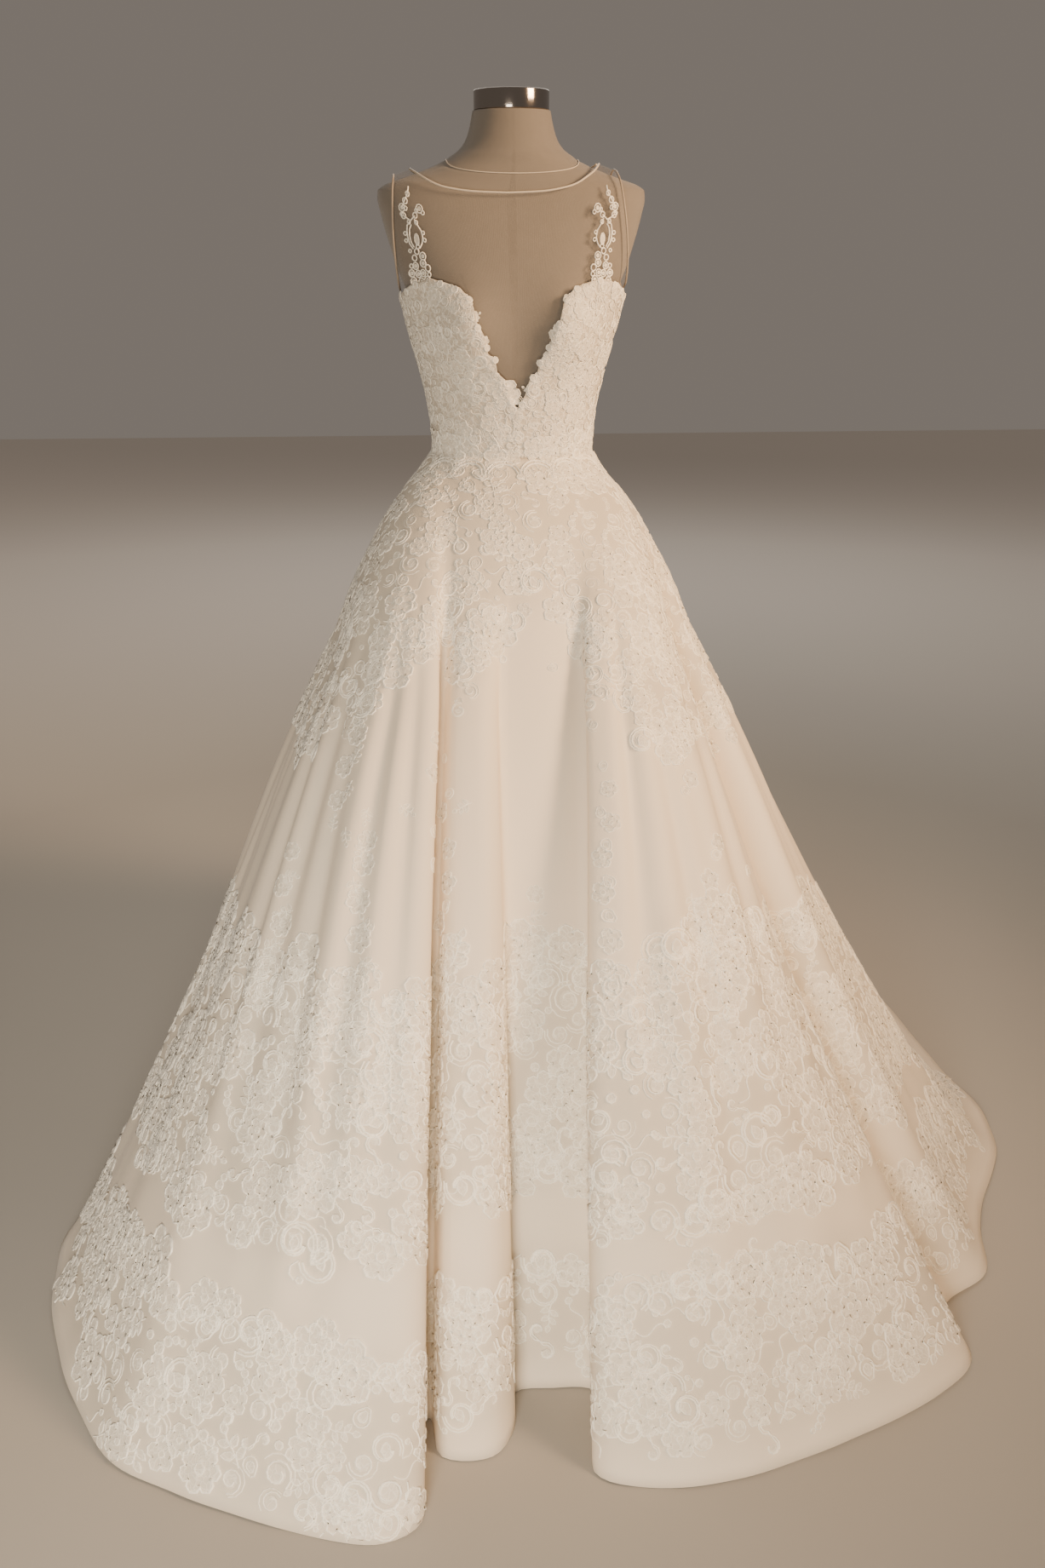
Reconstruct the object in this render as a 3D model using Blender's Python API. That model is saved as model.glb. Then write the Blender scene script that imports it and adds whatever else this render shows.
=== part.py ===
"""Wedding dress on a limbless dress form, built in metres.

The origin is on the floor under the form's pole, +Z is up, the dress faces -Y
and +X is on the right of someone who looks at its front.
"""
import math

import bmesh
import bpy
import numpy as np

# Heights and waist
WAIST_Z = 1.097
WAIST_HALF_WIDTH = 0.1100
WAIST_FRONT = 0.0860
WAIST_BACK = 0.0790
BODICE_Z = 1.0995
SEAM_GAP = 0.0003

# Cloth
CLOTH = 0.0020
LACE = 0.0012
NET = 0.0010
BODICE_CLEAR = 0.0052
BODICE_WALL = 0.0020
NET_CLEAR = 0.0039
GARMENT_SHIFT = -0.010

# Stand
CAP_RADIUS = 0.0500
CAP_TOP = 1.5620
NECK_TOP = 1.5370
TORSO_BOTTOM = 0.7700
FORM_INSET = 0.0032
POLE_RADIUS = 0.0160
BASE_RADIUS = 0.1700
BASE_HEIGHT = 0.0140

# Torso sections: height, half width, front depth, back depth, squareness
SECTIONS = [
    (0.770, 0.128, 0.082, 0.090, 2.1),
    (0.785, 0.146, 0.094, 0.104, 2.1),
    (0.820, 0.158, 0.101, 0.114, 2.1),
    (0.870, 0.163, 0.105, 0.124, 2.1),
    (0.920, 0.158, 0.106, 0.126, 2.1),
    (0.960, 0.148, 0.103, 0.120, 2.1),
    (1.000, 0.132, 0.098, 0.106, 2.1),
    (1.040, 0.116, 0.090, 0.089, 2.1),
    (1.075, 0.107, 0.083, 0.077, 2.1),
    (1.105, 0.105, 0.081, 0.074, 2.1),
    (1.150, 0.109, 0.086, 0.076, 2.1),
    (1.200, 0.119, 0.094, 0.082, 2.1),
    (1.245, 0.131, 0.102, 0.088, 2.2),
    (1.280, 0.139, 0.105, 0.092, 2.2),
    (1.308, 0.146, 0.103, 0.095, 2.3),
    (1.345, 0.160, 0.098, 0.098, 2.4),
    (1.380, 0.171, 0.091, 0.097, 2.4),
    (1.410, 0.179, 0.083, 0.094, 2.4),
    (1.430, 0.183, 0.077, 0.090, 2.3),
    (1.441, 0.182, 0.073, 0.087, 2.2),
    (1.449, 0.172, 0.071, 0.084, 2.1),
    (1.457, 0.149, 0.069, 0.081, 2.0),
    (1.465, 0.126, 0.067, 0.078, 2.0),
    (1.473, 0.104, 0.065, 0.074, 2.0),
    (1.481, 0.084, 0.063, 0.070, 2.0),
    (1.490, 0.070, 0.060, 0.065, 2.0),
    (1.502, 0.061, 0.057, 0.060, 2.0),
    (1.518, 0.0555, 0.054, 0.056, 2.0),
    (1.537, 0.0515, 0.0515, 0.0515, 2.0),
]
BUST_X = 0.068
BUST_Z = 1.272
BUST_OUT = 0.020
BUST_WIDE = 0.038
BUST_TALL = 0.048

# Front neckline of the lace bodice: distance from the centre line, height
V_EDGE = [
    (0.000, 1.166),
    (0.010, 1.184),
    (0.016, 1.205),
    (0.026, 1.214),
    (0.030, 1.232),
    (0.040, 1.240),
    (0.046, 1.262),
    (0.055, 1.278),
    (0.060, 1.302),
    (0.073, 1.318),
    (0.090, 1.325),
    (0.108, 1.331),
]
UNDERARM_Z = 1.309
# Back top edge of the lace bodice: angle from the front, height
BACK_EDGE = [
    (90.0, 1.309),
    (100.0, 1.303),
    (110.0, 1.293),
    (120.0, 1.281),
    (130.0, 1.268),
    (140.0, 1.253),
    (150.0, 1.239),
    (160.0, 1.226),
    (170.0, 1.216),
    (180.0, 1.212),
]
# Sheer yoke: how far across to the strap, and how much of the rise to the shoulder is done
NECKLINE = [
    (0.00, 0.00),
    (0.34, 0.05),
    (0.64, 0.24),
    (0.85, 0.58),
    (1.00, 1.00),
]
NECK_FRONT_Z = 1.432
NECK_BACK_Z = 1.440
STRAP_IN = 0.1260
STRAP_OUT = 0.1445
ARM_EDGE_ANGLE = 84.0
BINDING_RADIUS = 0.0015
YOKE_ROWS = 7
BODICE_ROWS = 6

# Lace on each strap: height, how far its middle is from the garment's centre, half width
STRAP_LACE = [
    (1.3360, 0.1215, 0.0150),
    (1.3480, 0.1220, 0.0120),
    (1.3600, 0.1225, 0.0085),
    (1.3740, 0.1235, 0.0110),
    (1.3880, 0.1245, 0.0105),
    (1.3990, 0.1245, 0.0075),
    (1.4110, 0.1225, 0.0150),
    (1.4230, 0.1225, 0.0160),
    (1.4330, 0.1245, 0.0090),
    (1.4430, 0.1255, 0.0035),
]
STRAP_COLUMNS = 2
ARM_STEPS = 12
TORSO_SIDES = 32
TORSO_HEIGHTS = [
    0.770, 0.785, 0.830, 0.920, 1.000, 1.060, 1.105, 1.160, 1.205, 1.235, 1.258, 1.280,
    1.302, 1.326, 1.352, 1.380, 1.405, 1.425, 1.437, 1.445, 1.453, 1.461, 1.469, 1.477,
    1.485, 1.495, 1.510, 1.537,
]
BUTTON_RADIUS = 0.0050
BUTTON_HALF_HEIGHT = 0.0026
BUTTON_STEP = 0.0250
BODICE_BUTTONS = 4
YOKE_BUTTONS = 8

# Skirt lines from the waist to the hem. The columns are the line's name, its angle at
# the waist from the front in degrees, the hem's x and y, how far the line sags inwards
# half way, how far it lies back as a train, and then, as shares of the line's length,
# where the hip lace ends, where the middle band starts and ends and where the hem band starts.
FOLDS = [
    ("recess_left", -18, -0.046, -0.640, 0.00, 0.0, 0.185, 0.55, 0.785, 0.875),
    ("small_lobe_inner", -24, -0.052, -0.700, 0.00, 0.0, 0.215, 0.55, 0.765, 0.865),
    ("small_lobe_front", -30, -0.080, -0.742, 0.00, 0.0, 0.275, 0.54, 0.76, 0.865),
    ("small_lobe_left", -42, -0.138, -0.738, 0.00, 0.0, 0.225, 0.52, 0.76, 0.855),
    ("left_recess", -50, -0.152, -0.675, 0.00, 0.0, 0.225, 0.53, 0.775, 0.875),
    ("left_recess_deep", -56, -0.188, -0.705, 0.00, 0.0, 0.215, 0.54, 0.78, 0.875),
    ("left_lobe_ridge", -59, -0.168, -0.830, 0.00, 0.0, 0.215, 0.55, 0.77, 0.875),
    ("left_lobe_front", -63, -0.208, -0.858, 0.00, 0.0, 0.215, 0.55, 0.77, 0.875),
    ("left_lobe_wide", -67, -0.280, -0.846, 0.00, 0.0, 0.225, 0.55, 0.78, 0.865),
    ("left_lobe_mid", -72, -0.364, -0.811, 0.00, 0.0, 0.265, 0.54, 0.78, 0.855),
    ("left_lobe_side", -78, -0.452, -0.768, 0.02, 0.0, 0.305, 0.55, 0.775, 0.845),
    ("left_lobe_corner", -84, -0.540, -0.712, 0.03, 0.0, 0.325, 0.56, 0.77, 0.845),
    ("left_lobe_back", -91, -0.607, -0.600, 0.05, 0.05, 0.335, 0.56, 0.775, 0.855),
    ("left_side_front", -98, -0.668, -0.431, 0.07, 0.1, 0.325, 0.57, 0.795, 0.875),
    ("left_side", -104, -0.680, -0.290, 0.07, 0.1, 0.325, 0.58, 0.795, 0.885),
    ("left_side_recess", -110, -0.632, -0.150, 0.02, 0.05, 0.325, 0.6, 0.795, 0.875),
    ("left_side_back", -116, -0.622, 0.020, 0.02, 0.1, 0.325, 0.6, 0.795, 0.875),
    ("left_back", -124, -0.585, 0.230, 0.03, 0.25, 0.325, 0.6, 0.795, 0.875),
    ("left_back_recess", -132, -0.540, 0.480, 0.05, 0.5, 0.325, 0.6, 0.795, 0.875),
    ("train_left", -142, -0.525, 0.740, 0.05, 0.8, 0.325, 0.6, 0.795, 0.875),
    ("train_left_corner", -154, -0.420, 1.020, 0.05, 1.0, 0.325, 0.6, 0.795, 0.875),
    ("train_back_left", -167, -0.210, 1.200, 0.05, 1.0, 0.325, 0.6, 0.795, 0.875),
    ("train_back", 180, 0.060, 1.250, 0.05, 1.0, 0.325, 0.6, 0.795, 0.875),
    ("train_back_right", 167, 0.330, 1.180, 0.05, 1.0, 0.325, 0.6, 0.795, 0.875),
    ("train_right_corner", 154, 0.540, 0.980, 0.05, 1.0, 0.325, 0.6, 0.795, 0.875),
    ("train_right", 143, 0.660, 0.700, 0.05, 0.8, 0.325, 0.6, 0.795, 0.875),
    ("right_back", 134, 0.720, 0.400, 0.06, 0.7, 0.325, 0.6, 0.795, 0.875),
    ("right_back_lobe", 125, 0.760, 0.100, 0.08, 0.45, 0.325, 0.6, 0.795, 0.875),
    ("right_tip", 118, 0.778, -0.145, 0.08, 0.25, 0.315, 0.61, 0.815, 0.895),
    ("right_side_recess", 111, 0.675, -0.345, 0.06, 0.1, 0.325, 0.6, 0.795, 0.875),
    ("right_side", 106, 0.640, -0.465, 0.07, 0.1, 0.325, 0.58, 0.795, 0.875),
    ("right_recess", 101, 0.556, -0.530, 0.10, 0.1, 0.325, 0.57, 0.785, 0.865),
    ("right_lobe_corner", 95, 0.556, -0.630, 0.13, 0.0, 0.325, 0.55, 0.775, 0.855),
    ("right_lobe_side", 88, 0.494, -0.686, 0.08, 0.0, 0.335, 0.54, 0.78, 0.845),
    ("right_lobe_wide", 80, 0.366, -0.747, 0.02, 0.0, 0.345, 0.52, 0.78, 0.835),
    ("right_lobe_mid", 71, 0.206, -0.799, 0.00, 0.0, 0.305, 0.54, 0.775, 0.84),
    ("right_lobe_front", 64, 0.095, -0.802, 0.00, 0.0, 0.235, 0.59, 0.775, 0.845),
    ("right_lobe_ridge", 60, 0.045, -0.775, 0.00, 0.0, 0.265, 0.59, 0.78, 0.855),
    ("recess_corner", 54, 0.078, -0.668, 0.00, 0.0, 0.235, 0.58, 0.785, 0.875),
    ("recess_right", 47, 0.052, -0.640, 0.00, 0.0, 0.215, 0.57, 0.79, 0.875),
    ("recess_mid", 15, 0.005, -0.636, 0.00, 0.0, 0.185, 0.53, 0.785, 0.875),
]
COLUMN_STEP = 0.068
FOLDS_START = 0.05
SCALLOP = 0.130
HEM_EDGE = 0.984
FOLDS_FULL = 0.28
# Side silhouette: drop from the waist and how far out the line is, both as shares
SIDE_LINE = [
    (0.000, 0.000), (0.012, 0.022), (0.038, 0.075), (0.053, 0.105), (0.087, 0.160),
    (0.125, 0.208), (0.171, 0.262), (0.214, 0.300), (0.310, 0.405), (0.410, 0.505),
    (0.515, 0.598), (0.660, 0.718), (0.770, 0.813), (0.883, 0.904), (1.000, 1.000),
]
TRAIN_LINE = [
    (0.000, 0.000), (0.040, 0.050), (0.100, 0.110), (0.200, 0.180), (0.350, 0.270),
    (0.500, 0.360), (0.650, 0.460), (0.800, 0.580), (0.900, 0.700), (0.960, 0.800),
    (0.985, 0.880), (1.000, 1.000),
]


# Skirt panels and the lines they run between
PANELS = [
    ("skirt_front_panel", "right_lobe_front", "left_lobe_front"),
    ("skirt_front_left_panel", "left_lobe_front", "left_side_recess"),
    ("skirt_side_left_panel", "left_side_recess", "train_left"),
    ("skirt_back_left_panel", "train_left", "train_back"),
    ("skirt_back_right_panel", "train_back", "train_right"),
    ("skirt_side_right_panel", "train_right", "right_side"),
    ("skirt_front_right_panel", "right_side", "right_lobe_front"),
]
# Lace pieces on the skirt: top row, bottom row and the lines they run between
LACES = [
    ("hip_lace_front", 0, 5, "right_side", "left_side_recess"),
    ("hip_lace_back_left", 0, 5, "left_side_recess", "train_back"),
    ("hip_lace_back_right", 0, 5, "train_back", "right_side"),
    ("band_lace_front", 8, 10, "right_side", "left_side_recess"),
    ("band_lace_back_left", 8, 10, "left_side_recess", "train_back"),
    ("band_lace_back_right", 8, 10, "train_back", "right_side"),
    ("hem_lace_front", 11, 13, "right_side", "left_side_recess"),
    ("hem_lace_back_left", 11, 13, "left_side_recess", "train_back"),
    ("hem_lace_back_right", 11, 13, "train_back", "right_side"),
]


def smooth(x):
    """Goes from 0 to 1 with level ends."""
    x = min(1.0, max(0.0, x))
    return x * x * (3.0 - 2.0 * x)


def through(table, at, column):
    """A smooth curve through one column of a table whose first column is in order."""
    xs = [row[0] for row in table]
    ys = [row[column] for row in table]
    if at <= xs[0]:
        return ys[0]
    if at >= xs[-1]:
        return ys[-1]
    i = max(k for k in range(len(xs) - 1) if xs[k] <= at)
    h = xs[i + 1] - xs[i]
    t = (at - xs[i]) / h
    rise = (ys[i + 1] - ys[i]) / h
    before = (ys[i] - ys[i - 1]) / (xs[i] - xs[i - 1]) if i else rise
    after = (ys[i + 2] - ys[i + 1]) / (xs[i + 2] - xs[i + 1]) if i + 2 < len(xs) else rise
    start = 0.0 if before * rise <= 0 else 2 * before * rise / (before + rise)
    end = 0.0 if after * rise <= 0 else 2 * after * rise / (after + rise)
    a = (1 + 2 * t) * (1 - t) ** 2 * ys[i] + t * (1 - t) ** 2 * h * start
    return a + t * t * (3 - 2 * t) * ys[i + 1] + t * t * (t - 1) * h * end


def torso_point(degrees, z):
    """A point of the form's surface at an angle from the front and a height."""
    half, front, back, square = (through(SECTIONS, z, k) for k in (1, 2, 3, 4))
    a = math.radians(degrees)
    s, c = math.sin(a), math.cos(a)
    x = half * math.copysign(abs(s) ** (2 / square), s)
    depth = (front if c > 0 else back) * abs(c) ** (2 / square)
    if c > 0:
        cup = math.exp(-(((abs(x) - BUST_X) / BUST_WIDE) ** 2))
        depth += BUST_OUT * cup * math.exp(-(((z - BUST_Z) / BUST_TALL) ** 2)) * min(1.0, 3 * c)
    return np.array([x, -depth if c > 0 else depth, z])


def off_torso(degrees, z, out):
    """The same point moved out along the surface's normal."""
    step = 0.6
    across = torso_point(degrees + step, z) - torso_point(degrees - step, z)
    up = torso_point(degrees, z + 0.002) - torso_point(degrees, z - 0.002)
    normal = np.cross(across, up)
    return torso_point(degrees, z) + normal / np.linalg.norm(normal) * out


def angle_at(x, z, back=False):
    """The angle from the front at which the torso has this x."""
    half, square = through(SECTIONS, z, 1), through(SECTIONS, z, 4)
    share = min(1.0, abs(x) / half)
    a = math.degrees(math.asin(share ** (square / 2)))
    a = math.copysign(a, x)
    return math.copysign(180.0, x) - a if back else a


def material(name, colour, roughness, metallic=0.0, alpha=1.0):
    """A plain surface colour."""
    made = bpy.data.materials.new(name)
    made.use_nodes = True
    shader = made.node_tree.nodes["Principled BSDF"]
    shader.inputs["Base Color"].default_value = (*colour, 1.0)
    shader.inputs["Roughness"].default_value = roughness
    shader.inputs["Metallic"].default_value = metallic
    shader.inputs["Alpha"].default_value = alpha
    return made


def add_object(name, points, faces, surface):
    """One closed mesh in the scene, with its faces turned outwards."""
    mesh = bpy.data.meshes.new(name)
    mesh.from_pydata([tuple(p) for p in points], [], faces)
    mesh.update()
    bm = bmesh.new()
    bm.from_mesh(mesh)
    bmesh.ops.recalc_face_normals(bm, faces=bm.faces)
    if bm.calc_volume(signed=True) < 0:
        bmesh.ops.reverse_faces(bm, faces=bm.faces)
    bm.to_mesh(mesh)
    bm.free()
    mesh.materials.append(surface)
    made = bpy.data.objects.new(name, mesh)
    bpy.context.scene.collection.objects.link(made)
    return made


def slab(name, inner, outer, surface):
    """A closed wall between two grids of points with the same rows and columns."""
    rows, columns = inner.shape[0], inner.shape[1]
    points = np.concatenate([inner.reshape(-1, 3), outer.reshape(-1, 3)])
    top = rows * columns

    def at(r, c, side):
        return side * top + r * columns + c

    faces = []
    for r in range(rows - 1):
        for c in range(columns - 1):
            a, b, d, e = (r, c), (r, c + 1), (r + 1, c + 1), (r + 1, c)
            faces.append([at(*q, 1) for q in (a, b, d)])
            faces.append([at(*q, 1) for q in (a, d, e)])
            faces.append([at(*q, 0) for q in (a, d, b)])
            faces.append([at(*q, 0) for q in (a, e, d)])
    edge = [(0, c) for c in range(columns)]
    edge += [(r, columns - 1) for r in range(1, rows)]
    edge += [(rows - 1, c) for c in range(columns - 2, -1, -1)]
    edge += [(r, 0) for r in range(rows - 2, 0, -1)]
    for k, a in enumerate(edge):
        b = edge[(k + 1) % len(edge)]
        if a[1] == b[1] == 0:
            faces.append([at(*a, 0), at(*b, 0), at(*a, 1)])
            faces.append([at(*b, 0), at(*b, 1), at(*a, 1)])
        else:
            faces.append([at(*a, 0), at(*b, 0), at(*b, 1)])
            faces.append([at(*a, 0), at(*b, 1), at(*a, 1)])
    return add_object(name, points, faces, surface)


def rings(name, stack, surface):
    """A closed solid through rings of points, from the bottom to the top."""
    count = len(stack[0])
    points = [p for ring in stack for p in ring]
    faces = []
    for r in range(len(stack) - 1):
        for c in range(count):
            n = (c + 1) % count
            a, b = r * count + c, r * count + n
            faces.append([a, b, b + count])
            faces.append([a, b + count, a + count])
    for ring, number in ((stack[0], 0), (stack[-1], len(stack) - 1)):
        middle = len(points)
        points.append(np.mean(ring, axis=0))
        for c in range(count):
            faces.append([middle, number * count + c, number * count + (c + 1) % count])
    return add_object(name, points, faces, surface)


def tube(name, path, radius, sides, surface, flat=1.0, away=None):
    """A closed cord along a path, with flat ends. away gives each point's outward way."""
    stack = []
    path = [np.array(p) for p in path]
    for k, p in enumerate(path):
        along = path[min(k + 1, len(path) - 1)] - path[max(k - 1, 0)]
        along /= np.linalg.norm(along)
        out = away[k] - along * float(np.dot(away[k], along))
        out /= np.linalg.norm(out)
        side = np.cross(along, out)
        ring = []
        for s in range(sides):
            a = 2 * math.pi * s / sides
            ring.append(p + side * radius * math.cos(a) + out * radius * flat * math.sin(a))
        stack.append(ring)
    return rings(name, stack, surface)


def skirt_columns():
    """The skirt's lines at an even step along the hem, each one as a row of FOLDS without a name."""
    rows = [np.array(row[1:], float) for row in FOLDS]
    count = len(rows)
    columns, firsts = [], {}
    for i in range(count):
        p0, p1, p2, p3 = (rows[(i + k) % count].copy() for k in (-1, 0, 1, 2))
        for p in (p0, p2, p3):
            p[0] += 360.0 * round((p1[0] - p[0]) / 360.0)
        k0, k1, k2 = (max(1e-6, math.hypot(*(b[1:3] - a[1:3])) ** 0.5)
                      for a, b in ((p0, p1), (p1, p2), (p2, p3)))
        steps = max(1, round(k1 ** 2 / COLUMN_STEP))
        m1 = (p2 - p1) - k1 * ((p2 - p0) / (k0 + k1) - (p1 - p0) / k0)
        m2 = (p2 - p1) + k1 * ((p3 - p2) / k2 - (p3 - p1) / (k1 + k2))
        for part in [0, *range(3, len(p1))]:
            m1[part] = m2[part] = p2[part] - p1[part]
        firsts[FOLDS[i][0]] = len(columns)
        for s in range(steps):
            t = s / steps
            a = (2 * t ** 3 - 3 * t ** 2 + 1) * p1 + (t ** 3 - 2 * t ** 2 + t) * m1
            columns.append(a + (-2 * t ** 3 + 3 * t ** 2) * p2 + (t ** 3 - t ** 2) * m2)
    return columns, firsts


def hem_places(columns):
    """How far round the hem each line ends, and the whole way round."""
    hem = np.array([c[1:3] for c in columns])
    steps = np.linalg.norm(np.roll(hem, -1, axis=0) - hem, axis=1)
    return np.concatenate([[0.0], np.cumsum(steps)[:-1]]), steps


def calm(columns, reach):
    """The lines averaged along the hem, which leaves the skirt's body without its folds."""
    places, steps = hem_places(columns)
    whole = steps.sum()
    turns = np.degrees(np.unwrap(np.radians([c[0] for c in columns])))
    way = 360.0 if turns[-1] > turns[0] else -360.0
    made = []
    for k, here in enumerate(places):
        laps = np.round((places - here) / whole)
        weights = np.exp(-(((places - here - laps * whole) / reach) ** 2)) * steps
        rows = np.array(columns, float)
        rows[:, 0] = turns - laps * way
        made.append((rows * weights[:, None]).sum(axis=0) / weights.sum())
    return made


def waist_point(degrees):
    """A point of the waist seam's ellipse."""
    a = math.radians(degrees)
    depth = WAIST_FRONT if math.cos(a) > 0 else WAIST_BACK
    return np.array([WAIST_HALF_WIDTH * math.sin(a), -depth * math.cos(a), WAIST_Z])


def share_out(table, t):
    """The table's second column at t, in straight steps."""
    return float(np.interp(t, [row[0] for row in table], [row[1] for row in table]))


def line_point(column, t):
    """The point of a skirt line whose height is a share t down from the waist."""
    degrees, hem_x, hem_y, sag, train = column[:5]
    start = waist_point(degrees)
    out = (1 - train) * share_out(SIDE_LINE, t) + train * share_out(TRAIN_LINE, t)
    out -= sag * math.sin(math.pi * t)
    flat = start + (np.array([hem_x, hem_y, WAIST_Z]) - start) * out
    return np.array([flat[0], flat[1], WAIST_Z * (1 - t)])


def lace_levels(column, place):
    """Where the lace edges cross a line, with the scallops of their outlines."""
    hip, band_top, band_low, hem_top = column[5:9]
    wave = abs(math.sin(math.pi * place / SCALLOP))
    slow = math.sin(2 * math.pi * place / (3.4 * SCALLOP))
    hip += 0.020 * wave + 0.012 * slow
    band_top -= 0.018 * wave
    band_low += 0.014 * wave
    hem_top -= 0.014 * wave + 0.008 * slow
    low = 0.16
    levels = [0.0, 0.03, 0.085, low, (low + hip) / 2, hip]
    levels += [hip + (band_top - hip) * k / 3 for k in (1, 2, 3)]
    levels += [(band_top + band_low) / 2, band_low, hem_top, (hem_top + HEM_EDGE) / 2]
    return levels + [HEM_EDGE, 1.0]


def skirt_grid():
    """The skirt's inner points, a row for each level and a column for each line."""
    columns, firsts = skirt_columns()
    body = calm(columns, 0.16)
    places = hem_places(columns)[0]
    fine = np.linspace(0, 1, 81)
    made = []
    for column, plain, place in zip(columns, body, places):
        path = []
        for t in fine:
            share = smooth((t - FOLDS_START) / (FOLDS_FULL - FOLDS_START))
            path.append(line_point(plain, t) * (1 - share) + line_point(column, t) * share)
        path = np.array(path)
        lengths = np.concatenate([[0], np.cumsum(np.linalg.norm(np.diff(path, axis=0), axis=1))])
        levels = lace_levels(column, place)
        made.append([[np.interp(v * lengths[-1], lengths, path[:, i]) for i in range(3)]
                     for v in levels])
    return np.array(made).transpose(1, 0, 2), firsts


def grid_normals(grid):
    """Outward normals of a grid that closes on itself from the last column to the first."""
    ahead, behind = np.roll(grid, -1, axis=1), np.roll(grid, 1, axis=1)
    up, down = grid.copy(), grid.copy()
    up[1:] = grid[:-1]
    down[:-1] = grid[1:]
    total = np.zeros_like(grid)
    for a, b in ((ahead, up), (up, behind), (behind, down), (down, ahead)):
        total += np.cross(a - grid, b - grid)
    total /= np.maximum(np.linalg.norm(total, axis=2), 1e-12)[:, :, None]
    outward = grid.copy()
    outward[:, :, 2] = 0
    return total * np.sign((total * outward).sum(axis=(1, 2)).sum())


def take(grid, first, last):
    """The columns from first to last, past the end of the grid if it comes to that."""
    count = grid.shape[1]
    last += count if last <= first else 0
    return grid[:, [k % count for k in range(first, last + 1)]]


def drawn_in(part):
    """A panel's points with half of the seam gap taken off each side."""
    part = part.copy()
    for side, beside in ((0, 1), (-1, -2)):
        way = part[:, beside] - part[:, side]
        way /= np.linalg.norm(way, axis=1)[:, None]
        part[:, side] += way * SEAM_GAP / 2
    return part


def on_floor(grid):
    """The grid with nothing below the floor."""
    grid[:, :, 2] = np.maximum(grid[:, :, 2], 0.0)
    return grid


def build_skirt(satin, lace):
    """The skirt's panels and the three lace pieces that lie on them."""
    grid, firsts = skirt_grid()
    normals = grid_normals(grid)
    outer = on_floor(grid + normals * CLOTH)
    for name, first, last in PANELS:
        ends = (firsts[first], firsts[last])
        slab(name, drawn_in(take(grid, *ends)), drawn_in(take(outer, *ends)), satin)
    under = on_floor(outer + normals * SEAM_GAP)
    over = on_floor(under + normals * LACE)
    for name, top, bottom, first, last in LACES:
        ends = (firsts[first], firsts[last])
        rows = slice(top, bottom + 1)
        slab(name, drawn_in(take(under, *ends))[rows], drawn_in(take(over, *ends))[rows], lace)


def bodice_top(side_back):
    """The top edge of a bodice panel as angles and heights."""
    if side_back:
        return list(BACK_EDGE)
    edge = [(angle_at(x, z), z) for x, z in V_EDGE]
    last = edge[-1]
    for k in (1, 2, 3):
        share = k / 3
        edge.append((last[0] + (90 - last[0]) * share,
                     last[1] + (UNDERARM_Z - last[1]) * smooth(share)))
    return edge


def lace_rise(share):
    """How much thicker the bodice's wall is, from its waist at 0 to its top edge at 1."""
    return LACE * smooth((share - 0.72) / 0.12)


def bodice_panel(name, side, back, lace):
    """A quarter of the bodice, from its side seam to the centre."""
    edge = bodice_top(back)
    count = len(edge)
    turn = math.degrees(SEAM_GAP / 2 / WAIST_FRONT)
    inner, outer = [], []
    for r in range(BODICE_ROWS + 1):
        share = r / BODICE_ROWS
        raised = lace_rise(share)
        for made, out in ((inner, BODICE_CLEAR), (outer, BODICE_CLEAR + BODICE_WALL + raised)):
            row = []
            for k, (top_angle, top_z) in enumerate(edge):
                low = 90.0 + 90.0 * k / (count - 1) if back else 90.0 * (k / (count - 1)) ** 1.15
                angle = low + (top_angle - low) * share
                angle += turn if k == 0 else 0.0
                angle -= turn if k == count - 1 else 0.0
                z = BODICE_Z + (top_z - BODICE_Z) * share
                row.append(off_torso(side * angle, z, out))
            made.append(row)
    slab(name, np.array(inner), np.array(outer), lace)


def shoulder_z(x):
    """The height at which the torso's half width has come down to x."""
    low, high = 1.436, 1.50
    for _ in range(30):
        middle = (low + high) / 2
        if through(SECTIONS, middle, 1) > abs(x):
            low = middle
        else:
            high = middle
    return (low + high) / 2


def neck_share(number, straps):
    """How far across a column of the yoke ends, closer together towards the strap."""
    return math.copysign(1 - (1 - abs(number) / straps) ** 1.4, number)


def neck_point(across, back):
    """A point of the neckline: x and height, at a share of the way to the strap."""
    x = across * STRAP_IN + GARMENT_SHIFT
    end = shoulder_z(math.copysign(STRAP_IN, across) + GARMENT_SHIFT) - 0.0003
    middle = NECK_BACK_Z if back else NECK_FRONT_Z
    return x, middle + (end - middle) * through(NECKLINE, abs(across), 1)


def yoke_column(low, top, bow, steps, outermost):
    """Places from a point of the bodice's edge up to a point of the neckline or the shoulder."""
    made = []
    for r in range(steps + 1):
        share = 1 - (1 - r / steps) ** (1.0 + 1.2 * min(1.0, outermost / 0.75) ** 4)
        x = low[0] + (top[0] - low[0]) * share + bow * math.sin(math.pi * share)
        made.append((x, low[1] + (top[1] - low[1]) * share))
    return made


def yoke_edge(side, back, outward=0.0):
    """The yoke's armhole edge, from the underarm to the shoulder, as x and height."""
    z = UNDERARM_Z + 0.0034
    angle = 180 - ARM_EDGE_ANGLE if back else ARM_EDGE_ANGLE
    low = (abs(torso_point(angle, z)[0]) * side, z)
    x = side * STRAP_OUT + GARMENT_SHIFT
    top = (x, shoulder_z(x) - 0.0003)
    return [(x + side * outward, z) for x, z in yoke_column(low, top, side * 0.004, ARM_STEPS, 1.0)]


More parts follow.
